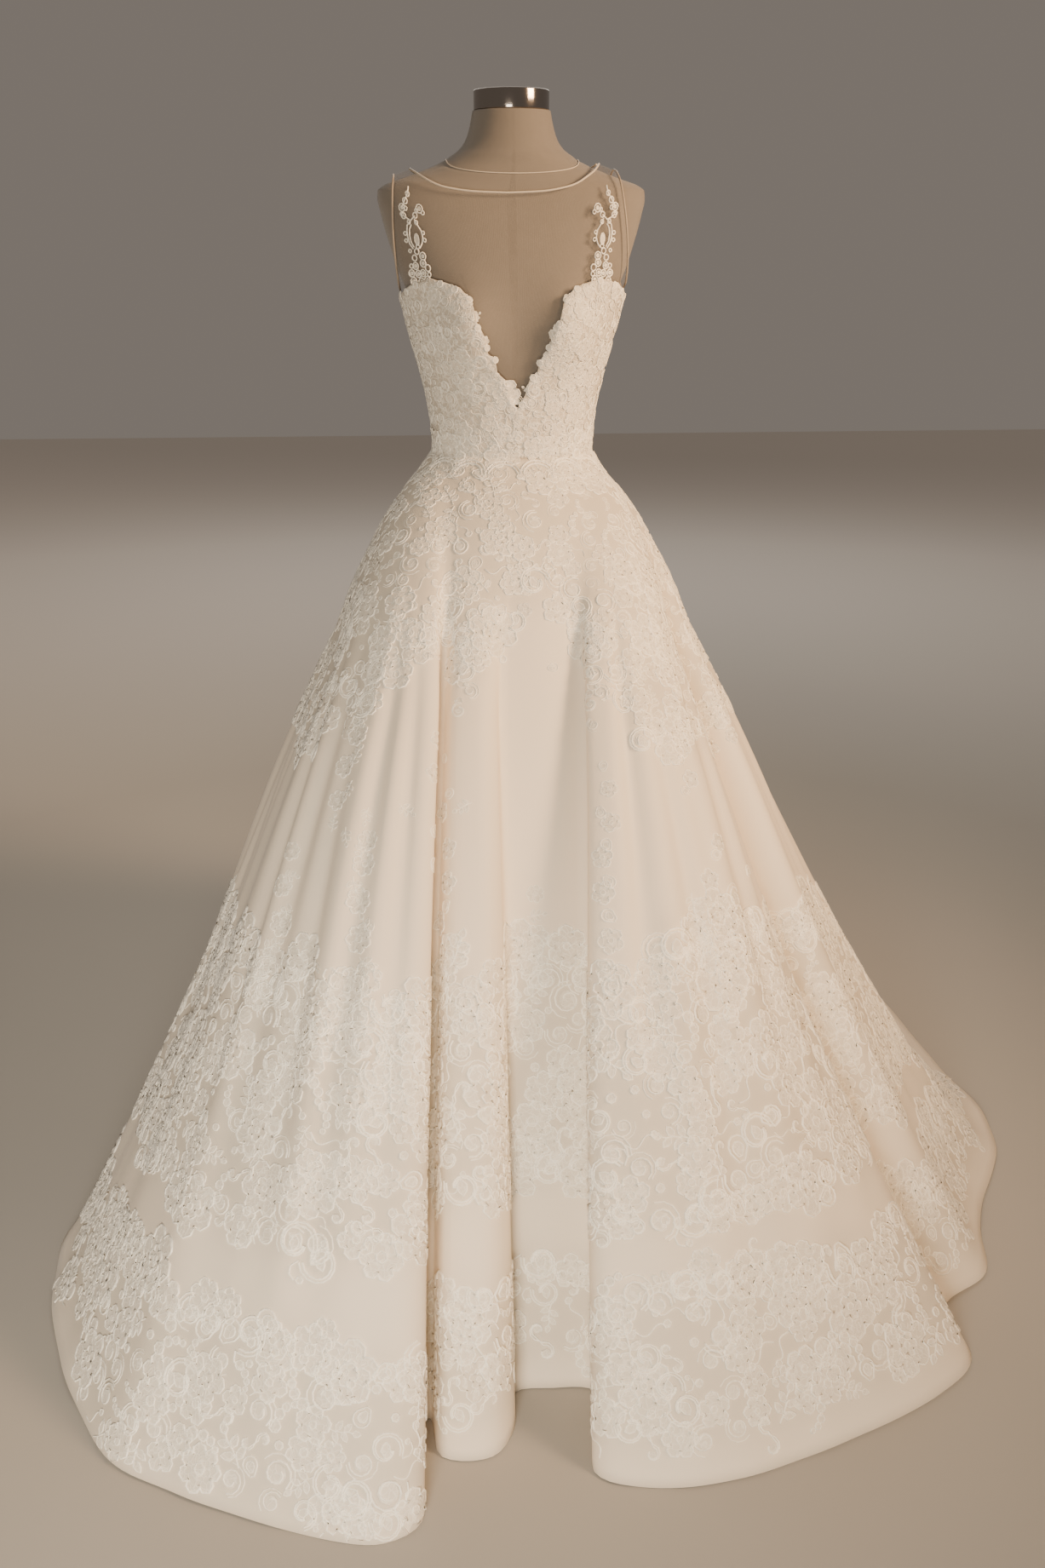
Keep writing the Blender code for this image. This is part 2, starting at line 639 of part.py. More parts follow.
def yoke(name, sides, back, net):
    """A sheer piece from the lace bodice up to the neckline and the shoulder."""
    edge = bodice_top(back)
    columns = []
    for side in sides:
        half = []
        last = len(edge) - 1
        for k, (angle, z) in enumerate(edge):
            k = last - k if back else k
            angle = min(max(angle, 180 - ARM_EDGE_ANGLE), 179.85) if back else angle
            angle = angle if back else min(max(angle, 0.0), ARM_EDGE_ANGLE)
            low_z = z + 0.0030
            low = (side * abs(torso_point(angle, low_z)[0]), low_z)
            straps = last - STRAP_COLUMNS
            if k <= straps:
                top = neck_point(side * neck_share(k, straps), back)
                top = (top[0] + (0.0 if k else side * SEAM_GAP / 2 * back), top[1])
            else:
                share = (k - straps) / STRAP_COLUMNS
                x = side * (STRAP_IN + (STRAP_OUT - STRAP_IN) * share) + GARMENT_SHIFT
                top = (x, shoulder_z(x) - 0.0003)
            bow = side * 0.004 * (k / last) ** 3
            half.append((k, yoke_column(low, top, bow, YOKE_ROWS, k / last)))
        half.sort(key=lambda pair: pair[0] * side)
        columns += [c for k, c in half if not (columns and k == 0)]
    grids = []
    for out in (NET_CLEAR, NET_CLEAR + NET):
        grids.append(np.array([[off_torso(angle_at(x, z, back), z, out) for x, z in column]
                               for column in columns]).transpose(1, 0, 2))
    slab(name, grids[0], grids[1], net)


def binding(name, places, surface):
    """A narrow rolled edge along places on the torso, given as angles and heights."""
    out = NET_CLEAR + NET
    path = [off_torso(a, z, out) for a, z in places]
    away = [off_torso(a, z, out + 0.01) - p for (a, z), p in zip(places, path)]
    tube(name, path, BINDING_RADIUS, 6, surface, 1.0, away)


def neck_binding(name, start, end, back, surface):
    """The edge along the neckline, between two shares of the way across."""
    places = []
    straps = len(bodice_top(back)) - 1 - STRAP_COLUMNS
    inside = [neck_share(k, straps) for k in range(-straps, straps + 1)]
    inside = [across for across in inside if start < across < end]
    for across in [start, *inside, end]:
        x, z = neck_point(across, back)
        z += BINDING_RADIUS + SEAM_GAP
        places.append((angle_at(x, z, back), z))
    binding(name, places, surface)


def arm_binding(name, side, surface):
    """The edge round an armhole, up the front and down the back."""
    out = BINDING_RADIUS + SEAM_GAP
    front = [(angle_at(x, z), z) for x, z in yoke_edge(side, False, out)]
    back = [(angle_at(x, z, True), z) for x, z in yoke_edge(side, True, out)]
    x = side * (STRAP_OUT + out) + GARMENT_SHIFT
    top = (90.0 * side, shoulder_z(x))
    places = front[:-1] + [top] + back[:-1][::-1]
    places = [(a, z + (0.0012 if k in (0, len(places) - 1) else 0.0))
              for k, (a, z) in enumerate(places)]
    binding(name, places, surface)


def strap_lace(name, side, lace):
    """The lace that climbs the yoke from the bodice to the shoulder."""
    grids = []
    for out in (NET_CLEAR + NET + 2 * SEAM_GAP, NET_CLEAR + NET + 2 * SEAM_GAP + LACE):
        rows = []
        for z, middle, half in STRAP_LACE:
            xs = [side * (middle + half * share) + GARMENT_SHIFT for share in (-1, -0.3, 0.4, 1)]
            rows.append([off_torso(angle_at(x, z), z, out) for x in xs])
        grids.append(np.array(rows))
    slab(name, grids[0], grids[1], lace)


def button(name, z, out, surface):
    """A small covered button on the centre back."""
    foot = torso_point(180.0, z)
    normal = off_torso(180.0, z, 0.01) - foot
    normal /= np.linalg.norm(normal)
    side = np.array([1.0, 0.0, 0.0])
    up = np.cross(normal, side)
    centre = foot + normal * (out + BUTTON_HALF_HEIGHT)
    stack = []
    for lift, wide in ((-1.0, 0.55), (-0.4, 0.95), (0.35, 0.9), (1.0, 0.4)):
        ring = []
        for k in range(6):
            a = math.pi * k / 3
            ring.append(centre + normal * lift * BUTTON_HALF_HEIGHT
                        + (side * math.cos(a) + up * math.sin(a)) * wide * BUTTON_RADIUS)
        stack.append(ring)
    rings(name, stack, surface)


def torso(surface):
    """The form's body, from its flat underside to the top of the neck."""
    stack = []
    for z in TORSO_HEIGHTS:
        inset = FORM_INSET * (1 - smooth((z - 1.470) / 0.015))
        inset *= smooth((z - TORSO_BOTTOM) / 0.050)
        stack.append([off_torso(360 * k / TORSO_SIDES, z, -inset) if inset else
                      torso_point(360 * k / TORSO_SIDES, z) for k in range(TORSO_SIDES)])
    rings("form_torso", stack, surface)


def turned(name, profile, sides, surface):
    """A round solid from pairs of radius and height."""
    stack = []
    for radius, z in profile:
        stack.append([np.array([radius * math.cos(2 * math.pi * k / sides),
                                radius * math.sin(2 * math.pi * k / sides), z])
                      for k in range(sides)])
    rings(name, stack, surface)


def build():
    """Every piece, in one clean scene."""
    for old in list(bpy.data.objects):
        bpy.data.objects.remove(old)
    satin = material("ivory satin", (0.86, 0.80, 0.70), 0.38)
    lace = material("ivory corded lace", (0.90, 0.86, 0.77), 0.62)
    net = material("sheer tulle", (0.82, 0.74, 0.64), 0.7, alpha=0.25)
    trim = material("ivory satin binding", (0.84, 0.77, 0.67), 0.4)
    linen = material("beige form cover", (0.56, 0.47, 0.37), 0.85)
    metal = material("polished metal", (0.42, 0.38, 0.35), 0.12, metallic=1.0)
    stand = material("painted steel", (0.05, 0.05, 0.05), 0.45, metallic=0.6)
    torso(linen)
    turned("neck_cap", [(CAP_RADIUS - 0.001, NECK_TOP + SEAM_GAP), (CAP_RADIUS, NECK_TOP + 0.0013),
                        (CAP_RADIUS, CAP_TOP - 0.002), (CAP_RADIUS - 0.002, CAP_TOP)], 32, metal)
    turned("stand_pole", [(POLE_RADIUS, BASE_HEIGHT + SEAM_GAP),
                          (POLE_RADIUS, TORSO_BOTTOM - SEAM_GAP)], 20, stand)
    turned("stand_base", [(BASE_RADIUS, 0.0), (BASE_RADIUS, BASE_HEIGHT - 0.004),
                          (BASE_RADIUS - 0.004, BASE_HEIGHT)], 32, stand)
    build_skirt(satin, lace)
    for name, side, back in (("bodice_front_left", -1, False), ("bodice_front_right", 1, False),
                             ("bodice_back_left", -1, True), ("bodice_back_right", 1, True)):
        bodice_panel(name, side, back, lace)
    yoke("yoke_front", (-1, 1), False, net)
    yoke("yoke_back_left", (-1,), True, net)
    yoke("yoke_back_right", (1,), True, net)
    neck_binding("neck_binding_front", -0.985, 0.985, False, trim)
    neck_binding("neck_binding_back_left", -0.985, -0.004, True, trim)
    neck_binding("neck_binding_back_right", 0.004, 0.985, True, trim)
    for name, side in (("left", -1), ("right", 1)):
        arm_binding("armhole_binding_" + name, side, trim)
        strap_lace("strap_lace_" + name, side, lace)
    on_net = NET_CLEAR + NET + SEAM_GAP
    for k in range(BODICE_BUTTONS):
        z = WAIST_Z + 0.016 + BUTTON_STEP * k
        rise = lace_rise((z + BUTTON_RADIUS - BODICE_Z) / (BACK_EDGE[-1][1] - BODICE_Z))
        on_lace = BODICE_CLEAR + BODICE_WALL + rise + SEAM_GAP
        button(f"button_{k + 1:02d}", z, on_lace, trim)
    for k in range(YOKE_BUTTONS):
        number = BODICE_BUTTONS + k + 1
        button(f"button_{number:02d}", 1.2300 + BUTTON_STEP * k, on_net, trim)


build()
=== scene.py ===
# %% [markdown]
# A lace wedding dress on a dress form. The dress is a fitted bodice of corded lace, a sheer
# yoke, and a floor-length satin skirt with a train and three tiers of lace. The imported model
# gives the frame: every piece below lies on one of its solids and replaces it. The frame is
# loaded first, because each size in this file starts from it.

# %% Load the frame
import math

import bmesh
import bpy
import numpy as np
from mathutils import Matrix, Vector


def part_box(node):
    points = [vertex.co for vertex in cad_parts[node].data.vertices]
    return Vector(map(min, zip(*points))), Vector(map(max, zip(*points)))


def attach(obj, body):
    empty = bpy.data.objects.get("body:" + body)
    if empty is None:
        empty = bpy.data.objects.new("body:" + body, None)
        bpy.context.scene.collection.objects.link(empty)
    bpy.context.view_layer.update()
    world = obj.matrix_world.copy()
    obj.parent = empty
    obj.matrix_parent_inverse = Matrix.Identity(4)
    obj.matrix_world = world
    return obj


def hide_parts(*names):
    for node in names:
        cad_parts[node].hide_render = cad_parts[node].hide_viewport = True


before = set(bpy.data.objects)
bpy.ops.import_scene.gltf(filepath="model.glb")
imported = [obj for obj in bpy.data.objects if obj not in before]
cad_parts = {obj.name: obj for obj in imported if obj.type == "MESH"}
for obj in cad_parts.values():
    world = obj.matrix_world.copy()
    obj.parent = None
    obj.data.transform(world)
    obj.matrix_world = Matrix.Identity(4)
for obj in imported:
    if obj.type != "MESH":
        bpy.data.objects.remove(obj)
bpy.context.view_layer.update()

# %% [markdown]
# The camera stands where the photographer stood: at chest height, about two metres away and
# four degrees to the dress's right, tipped down so that the hem is in the picture. A real
# camera object is used, because its height and distance decide how much of the floor and of
# the shoulders' top shows.

# %% Camera
CAMERA_PLACE = (-0.1465, -2.0949, 1.380)
CAMERA_TURN = 4.4
CAMERA_TIP = 20.65
SENSOR = 36.0
LENS = 33.24


def add_camera():
    """The camera at the photograph's viewing angle."""
    data = bpy.data.cameras.new("camera")
    data.sensor_fit = "VERTICAL"
    data.sensor_height = SENSOR
    data.lens = LENS
    camera = bpy.data.objects.new("camera", data)
    bpy.context.scene.collection.objects.link(camera)
    camera.location = CAMERA_PLACE
    camera.rotation_euler = (math.radians(90 - CAMERA_TIP), 0, -math.radians(CAMERA_TURN))
    bpy.context.scene.camera = camera
    return camera


print("camera:", tuple(add_camera().location))

# %% [markdown]
# The same tables that shape the solids shape the cloth here: the form's sections, the edge
# of the neckline and the skirt's folds. They are in metres and degrees. A curve that is drawn
# through a short table stays easy to change, where a dense list of points would not.

# %% Sizes of the form and the garment
WAIST_Z = 1.097
WAIST_HALF_WIDTH = 0.1100
WAIST_FRONT = 0.0860
WAIST_BACK = 0.0790
BODICE_Z = 1.0995
BODICE_CLEAR = 0.0052
BODICE_WALL = 0.0020
NET_CLEAR = 0.0039
NET = 0.0010
GARMENT_SHIFT = -0.010
FORM_INSET = 0.0032
CAP_RADIUS = 0.0500
CAP_TOP = 1.5620
NECK_TOP = 1.5370
TORSO_BOTTOM = 0.7700

# height, half width, front depth, back depth, squareness
SECTIONS = [
    (0.770, 0.128, 0.082, 0.090, 2.1),
    (0.785, 0.146, 0.094, 0.104, 2.1),
    (0.820, 0.158, 0.101, 0.114, 2.1),
    (0.870, 0.163, 0.105, 0.124, 2.1),
    (0.920, 0.158, 0.106, 0.126, 2.1),
    (0.960, 0.148, 0.103, 0.120, 2.1),
    (1.000, 0.132, 0.098, 0.106, 2.1),
    (1.040, 0.116, 0.090, 0.089, 2.1),
    (1.075, 0.107, 0.083, 0.077, 2.1),
    (1.105, 0.105, 0.081, 0.074, 2.1),
    (1.150, 0.109, 0.086, 0.076, 2.1),
    (1.200, 0.119, 0.094, 0.082, 2.1),
    (1.245, 0.131, 0.102, 0.088, 2.2),
    (1.280, 0.139, 0.105, 0.092, 2.2),
    (1.308, 0.146, 0.103, 0.095, 2.3),
    (1.345, 0.160, 0.098, 0.098, 2.4),
    (1.380, 0.171, 0.091, 0.097, 2.4),
    (1.410, 0.179, 0.083, 0.094, 2.4),
    (1.430, 0.183, 0.077, 0.090, 2.3),
    (1.441, 0.182, 0.073, 0.087, 2.2),
    (1.449, 0.172, 0.071, 0.084, 2.1),
    (1.457, 0.149, 0.069, 0.081, 2.0),
    (1.465, 0.126, 0.067, 0.078, 2.0),
    (1.473, 0.104, 0.065, 0.074, 2.0),
    (1.481, 0.084, 0.063, 0.070, 2.0),
    (1.490, 0.070, 0.060, 0.065, 2.0),
    (1.502, 0.061, 0.057, 0.060, 2.0),
    (1.518, 0.0555, 0.054, 0.056, 2.0),
    (1.537, 0.0515, 0.0515, 0.0515, 2.0),
]
BUST_X = 0.068
BUST_Z = 1.272
BUST_OUT = 0.020
BUST_WIDE = 0.038
BUST_TALL = 0.048
print("form:", len(SECTIONS), "sections from", SECTIONS[0][0], "to", SECTIONS[-1][0], "m")

# %% Curves through tables


def smooth(x):
    """Goes from 0 to 1 with level ends, for a number or an array."""
    x = np.clip(x, 0.0, 1.0)
    return x * x * (3.0 - 2.0 * x)


def through(table, at, column):
    """A smooth curve through one column of a table whose first column is in order."""
    xs = [row[0] for row in table]
    ys = [row[column] for row in table]
    if at <= xs[0]:
        return ys[0]
    if at >= xs[-1]:
        return ys[-1]
    i = max(k for k in range(len(xs) - 1) if xs[k] <= at)
    h = xs[i + 1] - xs[i]
    t = (at - xs[i]) / h
    rise = (ys[i + 1] - ys[i]) / h
    before = (ys[i] - ys[i - 1]) / (xs[i] - xs[i - 1]) if i else rise
    after = (ys[i + 2] - ys[i + 1]) / (xs[i + 2] - xs[i + 1]) if i + 2 < len(xs) else rise
    start = 0.0 if before * rise <= 0 else 2 * before * rise / (before + rise)
    end = 0.0 if after * rise <= 0 else 2 * after * rise / (after + rise)
    a = (1 + 2 * t) * (1 - t) ** 2 * ys[i] + t * (1 - t) ** 2 * h * start
    return a + t * t * (3 - 2 * t) * ys[i + 1] + t * t * (t - 1) * h * end


def fine_table(table, steps):
    """A table's curves sampled at even steps, as an array with the same columns."""
    at = np.linspace(table[0][0], table[-1][0], steps)
    columns = [[through(table, x, k) for x in at] for k in range(1, len(table[0]))]
    return np.array([at, *columns])


SECTIONS_FINE = fine_table(SECTIONS, 900)


def torso_points(degrees, z):
    """Points of the form's surface at angles from the front and heights, as arrays."""
    degrees, z = np.broadcast_arrays(np.asarray(degrees, float), np.asarray(z, float))
    half, front, back, square = (np.interp(z, SECTIONS_FINE[0], row) for row in SECTIONS_FINE[1:])
    a = np.radians(degrees)
    s, c = np.sin(a), np.cos(a)
    x = half * np.sign(s) * np.abs(s) ** (2 / square)
    depth = np.where(c > 0, front, back) * np.abs(c) ** (2 / square)
    cup = np.exp(-(((np.abs(x) - BUST_X) / BUST_WIDE) ** 2) - ((z - BUST_Z) / BUST_TALL) ** 2)
    depth += np.where(c > 0, BUST_OUT * cup * np.minimum(1.0, 3 * c), 0.0)
    return np.stack([x, np.where(c > 0, -depth, depth), z], axis=-1)


def off_torso(degrees, z, out):
    """The same points moved out along the surface's normals."""
    degrees, z = np.broadcast_arrays(np.asarray(degrees, float), np.asarray(z, float))
    across = torso_points(degrees + 0.6, z) - torso_points(degrees - 0.6, z)
    up = torso_points(degrees, z + 0.002) - torso_points(degrees, z - 0.002)
    normal = np.cross(across, up)
    normal /= np.linalg.norm(normal, axis=-1, keepdims=True)
    return torso_points(degrees, z) + normal * np.asarray(out, float)[..., None]


def angle_at(x, z, back=False):
    """The angle from the front at which the torso has this x."""
    half = np.interp(z, SECTIONS_FINE[0], SECTIONS_FINE[1])
    square = np.interp(z, SECTIONS_FINE[0], SECTIONS_FINE[4])
    share = min(1.0, abs(x) / half)
    a = math.copysign(math.degrees(math.asin(share ** (square / 2))), x)
    return math.copysign(180.0, x) - a if back else a


print("bust point:", np.round(torso_points(30.0, BUST_Z), 4))

# %% [markdown]
# Meshes are written from grids of points. A grid keeps rows and columns, so a piece can be
# cut, thickened or unrolled later, and its UV map can hold the real size of the cut cloth.

# %% Mesh helpers


def mesh_piece(name, points, faces, material, uv=None, smooth_shade=True):
    """An object at the world origin with its place in its mesh."""
    mesh = bpy.data.meshes.new(name)
    mesh.from_pydata(np.asarray(points).reshape(-1, 3).tolist(), [], faces)
    mesh.update()
    if uv is not None:
        layer = mesh.uv_layers.new(name="cut")
        corners = np.empty(len(mesh.loops), dtype=np.int32)
        mesh.loops.foreach_get("vertex_index", corners)
        layer.data.foreach_set("uv", np.asarray(uv).reshape(-1, 2)[corners].ravel())
    mesh.polygons.foreach_set("use_smooth", [smooth_shade] * len(mesh.polygons))
    mesh.materials.append(material)
    piece = bpy.data.objects.new(name, mesh)
    bpy.context.scene.collection.objects.link(piece)
    return piece


def grid_faces(rows, columns, closed=False):
    """Four-sided faces of a grid with its points row by row."""
    faces = []
    for r in range(rows - 1):
        for c in range(columns if closed else columns - 1):
            n = (c + 1) % columns
            faces.append((r * columns + c, (r + 1) * columns + c, (r + 1) * columns + n, r * columns + n))
    return faces


def face_out(piece):
    """Turns a closed mesh's faces outwards."""
    bm = bmesh.new()
    bm.from_mesh(piece.data)
    bmesh.ops.recalc_face_normals(bm, faces=bm.faces)
    if bm.calc_volume(signed=True) < 0:
        bmesh.ops.reverse_faces(bm, faces=bm.faces)
    bm.to_mesh(piece.data)
    bm.free()


def apply_modifiers(piece):
    """Turns the piece with its modifiers into a plain mesh."""
    graph = bpy.context.evaluated_depsgraph_get()
    made = bpy.data.meshes.new_from_object(piece.evaluated_get(graph))
    old = piece.data
    piece.modifiers.clear()
    piece.data = made
    made.name = old.name
    bpy.data.meshes.remove(old)
    return piece


def cloth_area(piece):
    """The area of a sheet before it gets its thickness."""
    return sum(face.area for face in piece.data.polygons)


def thicken(piece, thickness):
    """Gives a sheet its thickness, inwards from the side that shows."""
    made = piece.modifiers.new("thickness", "SOLIDIFY")
    made.thickness = thickness
    made.offset = -1.0
    return piece


def dress(piece, slot, *nodes):
    """Hangs a piece on the root and hides the solids it stands for. The slot is not used."""
    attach(piece, "root")
    if nodes:
        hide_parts(*nodes)
    return piece


print("helpers ready")

# %% [markdown]
# Finishes come before the pieces. Each one is a small set of shader nodes: a base colour that
# drifts a little, a fine pattern at the real scale of threads, and a bump from that pattern.
# The patterns read the cloth's UV map in metres, so that the weave follows the cut.

# %% Shader helpers


def new_finish(name, colour, roughness, metallic=0.0):
    """A material with its node tree and its shader."""
    material = bpy.data.materials.new(name)
    material.use_nodes = True
    tree = material.node_tree
    shader = tree.nodes["Principled BSDF"]
    shader.inputs["Base Color"].default_value = (*colour, 1.0)
    shader.inputs["Roughness"].default_value = roughness
    shader.inputs["Metallic"].default_value = metallic
    return material, tree, shader


def add_node(tree, kind, values=None, **settings):
    """A node with its settings and its input values."""
    node = tree.nodes.new(kind)
    for key, value in settings.items():
        setattr(node, key, value)
    for key, value in (values or {}).items():
        if isinstance(value, bpy.types.NodeSocket):
            tree.links.new(value, node.inputs[key])
        else:
            node.inputs[key].default_value = value
    return node


def coordinates(tree, layer, scale):
    """The cloth's own UV map, or the object's metres, scaled in three directions."""
    if layer:
        source = add_node(tree, "ShaderNodeUVMap", uv_map=layer).outputs["UV"]
    else:
        source = add_node(tree, "ShaderNodeTexCoord").outputs["Object"]
    return add_node(tree, "ShaderNodeMapping", {"Vector": source, "Scale": scale}).outputs["Vector"]


def noise(tree, vector, scale, detail=3.0):
    """A soft cloudy pattern."""
    values = {"Vector": vector, "Scale": scale, "Detail": detail}
    return add_node(tree, "ShaderNodeTexNoise", values).outputs["Fac"]


def threads(tree, vector, period, direction="X", wobble=0.6):
    """Parallel threads with a period in metres."""
    values = {"Vector": vector, "Scale": 2 * math.pi / (20 * period), "Distortion": wobble,
              "Detail": 1.0}
    return add_node(tree, "ShaderNodeTexWave", values, wave_type="BANDS",
                    bands_direction=direction).outputs["Fac"]


def blend_colours(tree, share, first, second):
    """A mix of two colours, each one a colour or a socket."""
    mix = add_node(tree, "ShaderNodeMix", data_type="RGBA")
    for socket, value in ((mix.inputs[0], share), (mix.inputs[6], first), (mix.inputs[7], second)):
        if isinstance(value, bpy.types.NodeSocket):
            tree.links.new(value, socket)
        else:
            socket.default_value = (*value, 1.0) if hasattr(value, "__len__") else value
    return mix.outputs[2]


def arithmetic(tree, operation, first, second):
    """One step of arithmetic on sockets or numbers."""
    node = add_node(tree, "ShaderNodeMath", operation=operation)
    for socket, value in zip(node.inputs, (first, second)):
        if isinstance(value, bpy.types.NodeSocket):
            tree.links.new(value, socket)
        else:
            socket.default_value = value
    return node.outputs[0]


def spread(tree, value, low, high):
    """A value from 0 to 1 moved to a range."""
    return add_node(tree, "ShaderNodeMapRange", {"Value": value, "To Min": low, "To Max": high}
                    ).outputs["Result"]


def bump(tree, shader, height, depth, strength=1.0):
    """A bump in metres from a pattern."""
    node = add_node(tree, "ShaderNodeBump", {"Height": height, "Distance": depth,
                                             "Strength": strength})
    tree.links.new(node.outputs["Normal"], shader.inputs["Normal"])


def connect(tree, value, shader, name):
    """Joins a socket to one of the shader's inputs."""
    tree.links.new(value, shader.inputs[name])


print("shader helpers ready")

# %% [markdown]
# Duchess satin is warp-faced: long smooth threads run down the cut and catch the light, and
# only a trace of the weave shows. A second colour, a little rosier, drifts through it. The lace
# zones are less glossy, because fine net lies over the satin there, and darker: painted shade
# for the shadows of the lace's cords.

# %% Satin, lace and net
IVORY = (0.808, 0.713, 0.570)
ROSY_IVORY = (0.818, 0.701, 0.562)
# painted shade: the net's ground is darker than the satin and stands for the shadows of the lace's cords
NET_PAINTED_SHADE = (0.680, 0.597, 0.478)
LACE_FILL = (0.800, 0.720, 0.590)
# painted highlight: the cords are lighter than the lace, as if light caught their crests
PAINTED_CORD_HIGHLIGHT = (0.960, 0.900, 0.780)
FORM_BEIGE = (0.208, 0.170, 0.130)


def crinkle(tree):
    """Fine cords that wander over lace, as ridges between the cells of a bent pattern, for a bump and a painted
    highlight.
    """
    place = coordinates(tree, None, (1.0, 1.0, 1.0))
    bend = add_node(tree, "ShaderNodeTexNoise", {"Vector": place, "Scale": 60.0, "Detail": 1.0})
    bent = add_node(tree, "ShaderNodeVectorMath",
                    {0: bend.outputs["Color"], 1: (0.018, 0.018, 0.018), 2: place},
                    operation="MULTIPLY_ADD").outputs[0]
    cells = add_node(tree, "ShaderNodeTexVoronoi", {"Vector": bent, "Scale": 125.0},
                     feature="DISTANCE_TO_EDGE").outputs["Distance"]
    ridge = spread(tree, cells, 1.0, 0.0)
    ridge.node.inputs["From Max"].default_value = 0.13
    return ridge


def satin_finish():
    """The skirt's satin, with the net over its lace zones and painted shade there."""
    material, tree, shader = new_finish("ivory_satin", IVORY, 0.42)
    cut = coordinates(tree, "cut", (1.0, 1.0, 1.0))
    drift = noise(tree, cut, 3.0)
    net_veil_and_shade = add_node(tree, "ShaderNodeAttribute", attribute_name="lace").outputs["Fac"]
    ground = blend_colours(tree, drift, IVORY, ROSY_IVORY)
    # in the lace zones the colour turns to the net's painted shade
    connect(tree, blend_colours(tree, net_veil_and_shade, ground, NET_PAINTED_SHADE), shader, "Base Color")
    slub = noise(tree, coordinates(tree, "cut", (1.0, 0.06, 1.0)), 900.0, 2.0)
    rough = arithmetic(tree, "MULTIPLY_ADD", net_veil_and_shade, 0.15)
    tree.links.new(spread(tree, slub, 0.50, 0.60), rough.node.inputs[2])
    connect(tree, rough, shader, "Roughness")
    warp = threads(tree, cut, 0.0007)
    weft = threads(tree, cut, 0.0011, "Y")
    weave = arithmetic(tree, "ADD", warp, arithmetic(tree, "MULTIPLY", weft, 0.35))
    weave = arithmetic(tree, "ADD", weave, arithmetic(tree, "MULTIPLY", slub, 0.8))
    bump(tree, shader, weave, 0.00006, 0.6)
    shader.inputs["Specular IOR Level"].default_value = 0.28
    shader.inputs["Sheen Weight"].default_value = 0.12
    shader.inputs["Sheen Roughness"].default_value = 0.45
    return material


def lace_finish():
    """Corded lace: matt filled petals, and a rounder cord along their edges, lighter as a painted highlight."""
    material, tree, shader = new_finish("corded_lace", LACE_FILL, 0.6)
    cord = add_node(tree, "ShaderNodeAttribute", attribute_name="cord").outputs["Fac"]
    place = coordinates(tree, "thread", (1.0, 1.0, 1.0))
    drift = noise(tree, coordinates(tree, None, (1.0, 1.0, 1.0)), 14.0)
    ridge = crinkle(tree)
    # the fill drifts towards the net's painted shade
    fill = blend_colours(tree, drift, LACE_FILL, NET_PAINTED_SHADE)
    # painted highlight: the fine cords' ridges are drawn lighter
    fill = blend_colours(tree, arithmetic(tree, "MULTIPLY", ridge, 0.55), fill, PAINTED_CORD_HIGHLIGHT)
    connect(tree, blend_colours(tree, cord, fill, PAINTED_CORD_HIGHLIGHT), shader, "Base Color")
    connect(tree, spread(tree, cord, 0.72, 0.46), shader, "Roughness")
    stitch = threads(tree, place, 0.0008, "DIAGONAL", 1.5)
    twist = noise(tree, place, 1400.0, 2.0)
    relief = arithmetic(tree, "ADD", arithmetic(tree, "ADD", stitch, twist),
                        arithmetic(tree, "MULTIPLY", ridge, 2.6))
    bump(tree, shader, relief, 0.00014, 0.8)
    shader.inputs["Sheen Weight"].default_value = 0.2
    shader.inputs["Subsurface Weight"].default_value = 0.0
    return material


def bodice_finish():
    """The ground of the bodice: net laid over satin, seen between the motifs, with painted shade in its holes."""
    material, tree, shader = new_finish("bodice_ground", NET_PAINTED_SHADE, 0.7)
    cut = coordinates(tree, "cut", (1.0, 1.0, 1.0))
    mesh = add_node(tree, "ShaderNodeTexVoronoi", {"Vector": cut, "Scale": 620.0},
                    feature="DISTANCE_TO_EDGE").outputs["Distance"]
    holes_and_shade = spread(tree, mesh, 0.0, 1.0)
    holes_and_shade.node.inputs["From Max"].default_value = 0.22
    # painted shade: the net's holes are darker than its threads, and both are darker than the satin beneath, for
    # the shade between the motifs
    ground = blend_colours(tree, noise(tree, cut, 40.0), (0.58, 0.50, 0.395), (0.50, 0.43, 0.335))
    ground = blend_colours(tree, holes_and_shade, NET_PAINTED_SHADE, ground)
    ridge = crinkle(tree)
    # painted highlight: the fine cords' ridges are drawn lighter
    connect(tree, blend_colours(tree, arithmetic(tree, "MULTIPLY", ridge, 0.7), ground, PAINTED_CORD_HIGHLIGHT),
            shader, "Base Color")
    relief = arithmetic(tree, "SUBTRACT", arithmetic(tree, "MULTIPLY", ridge, 3.0), holes_and_shade)
    bump(tree, shader, relief, 0.00014, 0.9)
    shader.inputs["Sheen Weight"].default_value = 0.15
    return material


def net_finish():
    """Sheer net: hexagon-like holes in a soft thread, mostly see-through."""
    material, tree, shader = new_finish("sheer_net", (0.62, 0.50, 0.38), 0.8)
    cut = coordinates(tree, "cut", (1.0, 1.0, 1.0))
    mesh = add_node(tree, "ShaderNodeTexVoronoi", {"Vector": cut, "Scale": 760.0},
                    feature="DISTANCE_TO_EDGE").outputs["Distance"]
    thread = spread(tree, mesh, 0.42, 0.05)
    thread.node.inputs["From Max"].default_value = 0.12
    connect(tree, thread, shader, "Alpha")
    connect(tree, blend_colours(tree, noise(tree, cut, 30.0), (0.31, 0.26, 0.205), (0.37, 0.31, 0.248)),
            shader, "Base Color")
    shader.inputs["Sheen Weight"].default_value = 0.1
    return material


